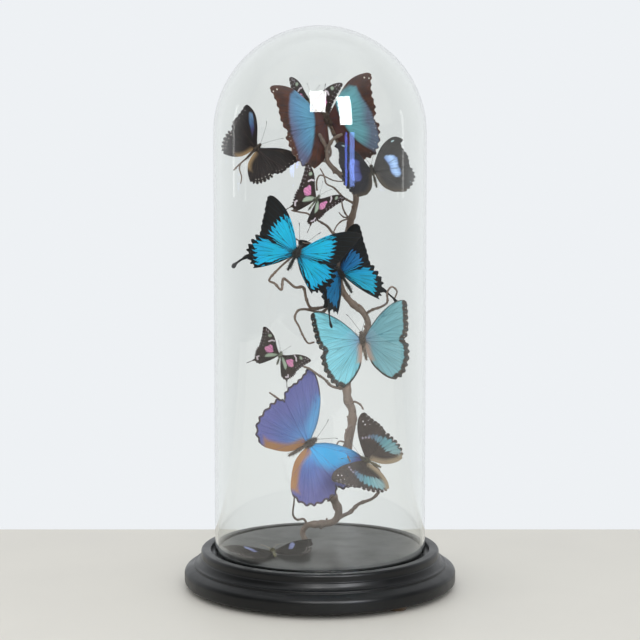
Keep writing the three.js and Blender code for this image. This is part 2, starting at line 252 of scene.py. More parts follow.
# Camera, light and floor.
studio = {
    "camera": (0, -1.3223, 0.3388), "pitchDown": 3.73, "lens": 78.75, "exposure": 0.0, "aim": (0, 0, 0.27),
    "floor": "#d7d3ca", "floorMottle": "#d1cdc5", "floorBack": 0.24, "wall": "#eceff2", "wallLight": 1.02,
    "skyLight": 1.0, "room": {"Y": (-0.1, 0.7, 0.08, 1.02), "Z": (0.5, 0.95, 0, 1.0), "X": (0.3, 0.95, 0, 0.25)},
    "lights": {  # place, size, power, colour, and whether it shows in reflections only
        "windowAhead": ((-0.08, -1.9, 1.5), (0.6, 0.85), 22, "#ffffff", True),
        "windowRight": ((0.86, -1.69, 1.12), (0.46, 1.0), 26, "#fafcff", True),
        "blueStripLeft": ((0.86, -1.7, 0.505), (0.07, 0.15), 0.26, "#5f7dff", True),
        "blueStripRight": ((1.04, -1.595, 0.505), (0.17, 0.15), 0.55, "#86a6ff", True),
        "streakLeft": ((-1.85, 0.43, 0.75), (0.05, 0.7), 0.25, "#ffffff", True),
        "streakRight": ((1.9, 0.25, 0.7), (0.05, 0.6), 0.2, "#ffffff", True),
        "softFront": ((0.3, -1.9, 1.0), (1.2, 1.2), 15, "#ffffff", False),
        "softLeft": ((-1.6, -0.7, 1.3), (1.3, 1.3), 4, "#fffaf4", False),
        "softTop": ((0.1, 0.1, 1.9), (1.6, 1.6), 3, "#ffffff", False),
    },
}


def makeStudio():
    scene = bpy.context.scene
    scene.view_settings.view_transform = "Standard"
    scene.view_settings.exposure = studio["exposure"]
    camera = bpy.data.objects.new("camera", bpy.data.cameras.new("camera"))
    camera.data.lens, camera.data.sensor_width = studio["lens"], 36
    camera.data.clip_start, camera.data.clip_end = 0.05, 50
    camera.location = studio["camera"]
    camera.rotation_euler = (math.radians(90 - studio["pitchDown"]), 0, 0)
    scene.collection.objects.link(camera)
    scene.camera = camera
    for name, (at, size, power, colour, mirrored) in studio["lights"].items():
        data = bpy.data.lights.new(name, "AREA")
        data.shape = "RECTANGLE"
        data.size, data.size_y = size
        data.energy, data.color = power, linear(colour)[:3]
        lamp = bpy.data.objects.new(name, data)
        lamp.location = at
        lamp.rotation_euler = (Vector(at) - Vector(studio["aim"])).to_track_quat("Z", "Y").to_euler()
        lamp.visible_glossy = lamp.visible_transmission = mirrored
        lamp.visible_diffuse = not mirrored
        scene.collection.objects.link(lamp)

    # A pale wall in every view. The mirrored room is bright behind, above and to the right, and dim in front.
    scene.world = bpy.data.worlds.new("wall")
    scene.world.use_nodes = True
    tree = scene.world.node_tree
    add = partial(addNode, tree)
    direction = add("SeparateXYZ", {"Vector": add("TexCoord").outputs["Generated"]})
    brightest = None
    for axis, ends in studio["room"].items():
        part = add("MapRange", {"range": ends, "Value": direction.outputs[axis]})
        brightest = add("Math MAXIMUM", {0: brightest, 1: part}) if brightest else part
    path = add("LightPath").outputs
    lights = add("Mix FLOAT", {0: path["Is Diffuse Ray"], 2: brightest, 3: studio["skyLight"]})
    turns = add("Math", {0: path["Glossy Depth"], 1: path["Diffuse Depth"]})
    seen = add("Math LESS_THAN", {0: turns, 1: 0.5})
    final = add("Mix FLOAT", {0: seen, 2: lights, 3: studio["wallLight"]})
    background = tree.nodes["Background"].inputs
    background["Color"].default_value = linear(studio["wall"])
    tree.links.new(final.outputs[0], background["Strength"])

    # Matte painted table top: pale and even, with a very faint mottle.
    material, add = newMaterial("paleTable")
    mottle = add("TexNoise", {"Scale": 9, "Detail": 3, "Vector": add("TexCoord").outputs["Object"]})
    colour = add("Mix RGBA", {0: mottle, 6: studio["floor"], 7: studio["floorMottle"]})
    add("OutputMaterial", {"Surface": add("BsdfPrincipled", {"Roughness": 0.55, "Base Color": colour})})
    wide, near, back = 3.0, -3.0, studio["floorBack"]
    corners = [(-wide, near, 0), (wide, near, 0), (wide, back, 0), (-wide, back, 0)]
    floor = bpy.data.objects.new("table", newMesh("table", corners, [[0, 1, 2, 3]], [material]))
    scene.collection.objects.link(floor)


# Turned base: satin black paint on a wood turning. It mirrors softly at a grazing angle, and keeps faint rings.
base = {
    "colour": "#0b0c0d", "dust": "#3a3a39", "roughness": 0.34, "ringSpacing": 0.9, "segments": 160,
    "profile": [  # radius, height and rounding in mm, from under the middle, round the outside, to the top's middle
        (0, 4, 0), (126, 4, 1), (128.6, 5.2, 1.5), (129, 7, 2), (129, 14.6, 2.2), (127.8, 17, 2), (124.4, 19, 3),
        (121, 20.4, 1), (120.3, 20.8, 0.8), (120.3, 22.2, 0.8), (119.6, 22.8, 0.6), (117.4, 23.2, 1.6),
        (115.5, 25.2, 2.2), (114.4, 28.3, 0.7), (113.4, 28.8, 0.5), (113.2, 29.6, 0.5), (113.2, 34.4, 1.4),
        (111.8, 36, 1.4), (105, 36, 1), (104, 35.2, 0.8), (104, 31, 0.3), (96.9, 31, 0.3), (96.9, 35.2, 0.7),
        (96.1, 36, 0.8), (94.6, 36, 0), (60, 36, 0), (0, 36, 0)],
}


def makeBase():
    material, add = newMaterial("satinBlackPaint")
    place = add("TexCoord").outputs["Object"]
    rings = add("TexWave", {"wave_type": "RINGS", "rings_direction": "Z", "Scale": 1000 / (base["ringSpacing"] * 20),
                            "Distortion": 0.6, "Detail": 2, "Detail Scale": 30, "Vector": place})
    peel = add("TexNoise", {"Scale": 700, "Detail": 2, "Vector": place})
    cloud = add("TexNoise", {"Scale": 38, "Detail": 5, "Roughness": 0.6, "Vector": place})
    specks = add("TexNoise", {"Scale": 1100, "Detail": 1, "Vector": place})
    speckMask = add("MapRange", {"range": (0.70, 0.78), "Value": specks})
    upright = add("SeparateXYZ", {"Vector": add("NewGeometry").outputs["Normal"]}).outputs["Z"]
    dusty = add("Math MULTIPLY", {0: upright, 1: speckMask})
    dustShare = add("Math MULTIPLY", {0: dusty, 1: 0.55, "use_clamp": True})
    colour = add("Mix RGBA", {0: dustShare, 6: base["colour"], 7: base["dust"]})
    rough = add("MapRange", {"range": (0.3, 0.7, base["roughness"] - 0.05, base["roughness"] + 0.08), "Value": cloud})
    relief = add("Math MULTIPLY_ADD", {0: rings.outputs["Fac"], 1: 0.5, 2: peel})
    bump = add("Bump", {"Strength": 0.18, "Distance": 0.0001, "Height": relief})
    add("OutputMaterial", {"Surface": add("BsdfPrincipled", {
        "IOR": 1.5, "Specular IOR Level": 0.36, "Base Color": colour, "Roughness": rough, "Normal": bump})})
    points, faces = turnedShell(roundedProfile(base["profile"]), base["segments"])
    mesh = newMesh("turnedBase", points * mm, faces, [material])
    addPiece("turnedBase", mesh, ["turned_base"])


# Felt pads under the base: brown wool felt, dull, with a fuzzy edge.
feet = {"colour": "#5d4a33", "shade": "#3d2f20", "radius": 9, "height": 3.7, "ring": 114, "angles": (-53, 67, 187)}


def makeFeet():
    material, add = newMaterial("brownFelt")
    fibres = add("TexNoise", {"Scale": 1400, "Detail": 4, "Vector": add("TexCoord").outputs["Object"]})
    colour = add("Mix RGBA", {0: fibres, 6: feet["shade"], 7: feet["colour"]})
    bump = add("Bump", {"Strength": 0.8, "Distance": 0.0003, "Height": fibres})
    add("OutputMaterial", {"Surface": add("BsdfPrincipled", {
        "Roughness": 0.95, "Sheen Weight": 0.4, "Base Color": colour, "Normal": bump})})
    radius, height = feet["radius"], feet["height"]
    profile = roundedProfile([(0, 0, 0), (radius, 0, 0.5), (radius, height, 0.5), (0, height, 0)])
    disc, faces = turnedShell(profile, 48)
    for number, angle in enumerate(feet["angles"], 1):
        turn = math.radians(angle)
        place = np.array([feet["ring"] * math.cos(turn), feet["ring"] * math.sin(turn), 0])
        mesh = newMesh(f"feltFoot{number}", (disc + place) * mm, faces, [material])
        addPiece(f"feltFoot{number}", mesh, [f"foot_{number}"])


# Blown soda-lime glass: clear, a trace of green where it's seen edge on, fire-polished foot.
dome = {
    "radius": 100, "wall": 2.5, "bottom": 31.3, "centre": 427.5, "segments": 160, "arcSteps": 36, "tint": "#f9faf8",
    "ior": 1.5, "gloss": 0.3, "depthColour": "#d4e6df", "depthDensity": 4.0,
}


def makeDome():
    material, add = newMaterial("clearGlass")
    glass = add("BsdfPrincipled", {"Base Color": dome["tint"], "Roughness": 0.0, "IOR": dome["ior"],
                                   "Transmission Weight": 1.0, "Specular IOR Level": dome["gloss"]})
    clear = add("BsdfTransparent", {"Color": dome["tint"]})
    path = add("LightPath").outputs
    lets = add("Math MAXIMUM", {0: path["Is Shadow Ray"], 1: path["Is Diffuse Ray"]})
    mix = add("MixShader", {0: lets, 1: glass, 2: clear})
    depth = add("VolumeAbsorption", {"Color": dome["depthColour"], "Density": dome["depthDensity"]})
    add("OutputMaterial", {"Surface": mix, "Volume": depth})
    outer, centre, bottom = dome["radius"], dome["centre"], dome["bottom"]
    inner, half = outer - dome["wall"], dome["wall"] / 2
    quarter = np.linspace(0, math.pi / 2, dome["arcSteps"])
    arcIn = [(inner * math.cos(a), centre + inner * math.sin(a)) for a in quarter[::-1]]
    arcOut = [(outer * math.cos(a), centre + outer * math.sin(a)) for a in quarter]
    arcIn[0], arcOut[-1] = (0, arcIn[0][1]), (0, arcOut[-1][1])
    # The last ring, close to the lip, keeps the wall's shading straight.
    walls = [*np.linspace(centre, bottom + half + 1, 12)[1:], bottom + half]
    lip = [(inner + half - half * math.cos(a), bottom + half - half * math.sin(a))
           for a in np.linspace(0, math.pi, 9)]
    profile = arcIn + [(inner, z) for z in walls] + lip[1:-1] + [(outer, z) for z in walls[::-1]] + arcOut
    points, faces = turnedShell(profile, dome["segments"])
    addPiece("glassDome", newMesh("glassDome", points * mm, faces, [material]), ["glass_dome"])


# Corkscrew hazel, dry, with its bark on: grey-brown, smooth, with pale breathing pores and ring-shaped bud scars.
branch = {
    "light": "#9c8c82", "dark": "#52443d", "warm": "#7e6557", "pore": "#b3a193", "sides": 20, "twigSides": 12,
    "spacing": 1.1, "twigSpacing": 0.8, "grainDepth": 0.2, "knotEvery": 19.0, "knotHeight": 0.26, "buds": 9000.0,
    "budGap": 0.0075, "budSize": 0.0017, "budSeed": 4,
    "budRule": {"shape": "bud", "stretch": (0.7, 0.9, 1.25), "lean": ((-0.6, -0.6, -0.3), (0.6, 0.6, 0.9)),
                "sizes": (0.45, 1.2)},
}
trunkPath = [
    (-14, 26, 36.2), (-17, 28, 43), (-13, 28, 50), (0, 25, 52), (14, 20, 56), (18, 16, 66), (15, 14, 75), (12, 9, 85),
    (15, 5, 107), (25, 6, 127), (29, 6, 143), (31, 12, 165), (27, 15, 174), (26, 20, 185), (29, 27, 206),
    (41, 28.5, 228), (47, 31, 246), (41, 34, 259), (32, 36, 266), (22, 36, 279), (18, 32.6, 297), (20, 25, 316),
    (27, 14, 338), (34, -2, 369), (31, 0, 379), (21, 2, 388), (13, 3, 395), (7, 4, 403), (6, 4, 414), (-1, -2, 428)]
trunkRadii = [
    (0, 2.4), (0.06, 3), (0.14, 3.7), (0.34, 3.8), (0.46, 3.6), (0.53, 3), (0.75, 2.9), (0.86, 2.6), (0.93, 2.1),
    (1, 1.4)]
trunkNodes = ["branch_foot", "trunk_lower", "trunk_middle", "trunk_upper", "trunk_top"]
twigs = {  # name: (thick end's radius, thin end's radius, points in mm)
    "top_fork": (1.8, 1.2, [(6, 4, 411), (8, 2, 416), (13, -3, 423), (21, -8, 427)]),
    "twig_behind_top_morpho": (1.4, 1.0, [(7, 4, 405), (10, 14, 411), (8, 20, 422), (6, 19.6, 437)]),
    "twig_to_top_swallowtail": (1.1, 0.7, [(8, 20, 421), (4, 31, 427), (-1, 41, 434), (-7, 45, 447),
        (-9, 41.7, 460)]),
    "twig_to_violet_streaked_brown": (1.2, 0.7, [(7, 4, 402), (3, 13, 403), (-8, 18, 404), (-26, 18, 405),
        (-44, 16, 408), (-60, 15, 415), (-70, 18, 406), (-77, 18, 400), (-83, 17, 394)]),
    "twig_to_hook_tipped_black": (1.3, 0.9, [(34, -2, 371), (39, -12, 378), (45, -20, 386), (47.6, -25, 391)]),
    "twig_to_middle_swallowtail": (1.3, 0.7, [(26, 15, 334), (19, 8, 332), (12, 3, 335), (7, -3, 341), (-1, -10, 346),
        (-8, -18, 350.5), (-12, -21.4, 353), (-18, -17.5, 354), (-27, -13.5, 356)]),
    "curly_left_twig": (1.5, 0.9, [(22, 35, 279), (14, 27, 268), (4, 18, 264), (-9, 6, 264), (-13, 0, 273),
        (-16, -6, 284), (-23, -10, 284), (-34, -14, 292), (-36, -18, 282), (-42, -20, 288), (-47, -24, 291),
        (-37, -29, 303), (-26, -35, 313), (-21, -40, 319)]),
    "left_loop_twig": (1.3, 0.8, [(9, 23, 265), (2, 19, 259), (-14, 14, 262), (-21, 10, 261), (-24, 8, 254),
        (-20, 6, 246), (-16, 6, 237), (-11, 8, 230), (-5, 10, 231)]),
    "twig_to_left_swallowtail": (1.4, 0.7, [(27, 20, 185), (19, 17.5, 186), (11, 8, 189), (5, -2, 196),
        (-2, -12, 202), (-10, -16, 208), (-22, -20, 213), (-35, -17.6, 221)]),
    "twig_behind_violet_morpho": (1.7, 0.8, [(19, 5, 115), (8, -2, 119), (-3, -12, 127), (-12, -20.8, 139),
        (-20, -22, 156), (-34, -28, 177), (-47, -34, 188)]),
    "lower_right_twig": (1.8, 0.8, [(18, 18, 60), (29, 14, 66), (37, 8, 75), (50, 0, 82), (56, -6, 90),
        (59, -12, 102), (54, -17, 114), (45, -19, 122)]),
    "lower_left_twig": (1.1, 0.6, [(-12, 28, 50), (-16, 25, 57), (-22, 22, 57), (-26, 18, 62), (-25, 10, 77),
        (-24, 2, 90)]),
    "right_curl_twig": (1.3, 0.7, [(44, 34, 256), (51, 26, 261), (58, 16, 264), (64, 8, 269), (64, 4, 279),
        (68, 2, 284), (73, 4, 280), (71, 8, 272)]),
    "long_thin_twig": (1.0, 0.6, [(31, -2, 363), (22, -8, 368), (13, -8, 377), (6, -4, 381), (4, 1, 388),
        (0, 8, 396)]),
}
fineTwigs = {  # twig ends too thin for the solids
    "upperFineTwig": (0.8, 0.5, [(-3, 6, 375), (-3, 4, 384), (0, 2, 389), (13, 0, 384), (22, 1, 383)]),
    "trunkLoopTwig": (1.0, 0.6, [(32, 8, 153), (27, 0, 150), (24, -2, 144), (24, 0, 135), (24, 4, 130)]),
    "smallHookTwig": (0.9, 0.6, [(25, 4, 133), (23, 2, 136), (18, -1, 137), (16, -2, 134), (16, -1, 130)]),
    "frontTwig": (0.9, 0.6, [(21, 4, 127), (25, -10, 126), (29, -18, 120)]),
    "bandTwig": (1.1, 0.7, [(31, 12, 172), (33, 8, 174), (38, 4, 172), (41, -6, 168)]),
    "rightLoopTwig": (0.9, 0.6, [(28.3, 15, 348.1), (24.4, 11, 352.8), (21.5, 8, 359.3), (20.5, 6, 365.9),
        (19.5, 4, 372.5)]),
    "rightHookTwig": (0.8, 0.5, [(28.3, 15, 349.0), (22.5, 11, 349.9), (19.6, 9, 352.3), (17.7, 7, 354.6)]),
    "lowHookTwig": (0.8, 0.6, [(27.3, 15, 348.1), (20.6, 10, 346.1), (15.8, 8, 341.4), (13.0, 6, 335.7)]),
    "shortLeftTwig": (0.7, 0.5, [(-26.7, 0, 332.9), (-21.0, 0, 328.2), (-14.4, 0, 325.4), (-7.9, 4, 325.3)]),
    "farLeftFork": (0.7, 0.5, [(-76, 18, 401), (-77, 17, 396), (-75, 17, 388), (-76, 17, 381)]),
}


def makeBark():
    # Dry hazel bark: matte with a slight wax, drawn lengthwise, with pale breathing pores.
    material, add = newMaterial("hazelBark")
    grain = add("Attribute", {"attribute_name": "grain"}).outputs["Vector"]
    lengthwise = add("Mapping", {"Scale": (1.0, 1.0, 0.16), "Vector": grain})
    fibre = add("TexNoise", {"Scale": 1.5, "Detail": 5, "Roughness": 0.65, "Vector": lengthwise})
    crosswise = add("Mapping", {"Scale": (0.5, 0.5, 1.5), "Vector": grain})
    pores = add("TexVoronoi", {"Scale": 0.42, "Randomness": 1, "Vector": crosswise})
    poreMask = add("MapRange", {"range": (0.16, 0.06), "Value": pores})
    broad = add("TexNoise", {"Scale": 0.045, "Detail": 3, "Vector": grain})
    hue = add("Mix RGBA", {0: fibre, 6: branch["dark"], 7: branch["light"]})
    warmShare = add("MapRange", {"range": (0.4, 0.65, 0, 0.6), "Value": broad})
    warmed = add("Mix RGBA", {0: warmShare, 6: hue, 7: branch["warm"]})
    colour = add("Mix RGBA", {0: poreMask, 6: warmed, 7: branch["pore"]})
    relief = add("Math MULTIPLY_ADD", {0: poreMask, 1: 0.7, 2: fibre})
    bump = add("Bump", {"Strength": 0.7, "Distance": 0.0003, "Height": relief})
    add("OutputMaterial", {"Surface": add("BsdfPrincipled", {
        "Roughness": 0.68, "IOR": 1.45, "Base Color": colour, "Normal": bump})})
    return material


def tube(path, radii, sides, spacing, wobble=0.0, knotEvery=None, knotHeight=0.0, seed=0):
    line = smoothCurve(path, spacing)
    steps = len(line)
    radius = np.interp(np.linspace(0, 1, steps), *zip(*radii))
    run = runLengths(line)
    if knotEvery:
        for number in range(1, int(run[-1] / knotEvery) + 1):
            at = knotEvery * (number + 0.35 * math.sin(number * 2.4 + seed))
            radius = radius * (1 + knotHeight * np.exp(-(((run - at) / (radius * 0.9)) ** 2)))
    ends = np.clip((run[-1] - run) / np.maximum(radius, 1e-6), 0, 1)  # rounds the tip
    radius = radius * np.sqrt(np.clip(1 - (1 - ends) ** 2, 0.0, 1))
    tangents = np.gradient(line, axis=0)
    tangents /= np.linalg.norm(tangents, axis=1)[:, None]
    side = np.cross(tangents[0], (0.31, 0.87, 0.38))
    points, grain = [], []
    for at, tangent, thick, far in zip(line, tangents, radius, run):
        side = side - tangent * side.dot(tangent)
        side = side / np.linalg.norm(side)
        other = np.cross(tangent, side)
        for corner in range(sides):
            angle = corner / sides * 2 * math.pi
            c, s = math.cos(angle), math.sin(angle)
            rough = 0.0
            if wobble and thick > 0.3:
                spot = Vector((c * 2.2 + seed, s * 2.2, far * 0.09))
                rough = wobble * (noise.noise(spot) + 0.5 * noise.noise(spot * 2.7))
            points.append(at + (side * c + other * s) * max(thick + rough * min(1, thick / 2), 0.01))
            grain.append((c * thick, s * thick, far))
    faces = []
    for step in range(0, (steps - 1) * sides, sides):
        for corner in range(sides):
            a, b = step + corner, step + (corner + 1) % sides
            faces.append([a, b, b + sides, a + sides])
    faces += [list(range(sides))[::-1], list(range((steps - 1) * sides, steps * sides))]
    return np.array(points), faces, np.array(grain)


def camel(name):
    first, *others = name.split("_")
    return first + "".join(word.capitalize() for word in others)


def makeBranch():
    bark = makeBark()
    points, faces, grain = tube(trunkPath, trunkRadii, branch["sides"], branch["spacing"], branch["grainDepth"] * 2,
                                branch["knotEvery"], branch["knotHeight"])
    mesh = newMesh("hazelTrunk", points * mm, faces, [bark], {"grain": grain})
    buds = runTree("trunkBuds", mesh, makeGrowthTree("barkBuds", branch["budRule"]), {
        "density": branch["buds"], "gap": branch["budGap"], "radius": branch["budSize"], "seed": branch["budSeed"],
        "layBack": (0, 0, 0), "material": bark})
    buds.attributes.new("grain", "FLOAT_VECTOR", "POINT")
    spots = np.array([vertex.co for vertex in buds.vertices]) / mm
    buds.attributes["grain"].data.foreach_set("vector", spots.ravel())
    buds.polygons.foreach_set("use_smooth", [True] * len(buds.polygons))
    addPiece("trunkBuds", buds)
    addPiece("hazelTrunk", mesh, trunkNodes)
    for number, (name, (thick, thin, path)) in enumerate({**twigs, **fineTwigs}.items(), 1):
        flare = [(0, thick * 1.45), (0.05, thick * 1.1), (0.12, thick), (1, thin)]
        points, faces, grain = tube(path, flare, branch["twigSides"], branch["twigSpacing"], branch["grainDepth"],
                                    branch["knotEvery"] * 0.6, branch["knotHeight"] * 1.3, number * 7.3)
        mesh = newMesh(camel(name), points * mm, faces, [bark], {"grain": grain})
        addPiece(camel(name), mesh, [] if name in fineTwigs else [name])


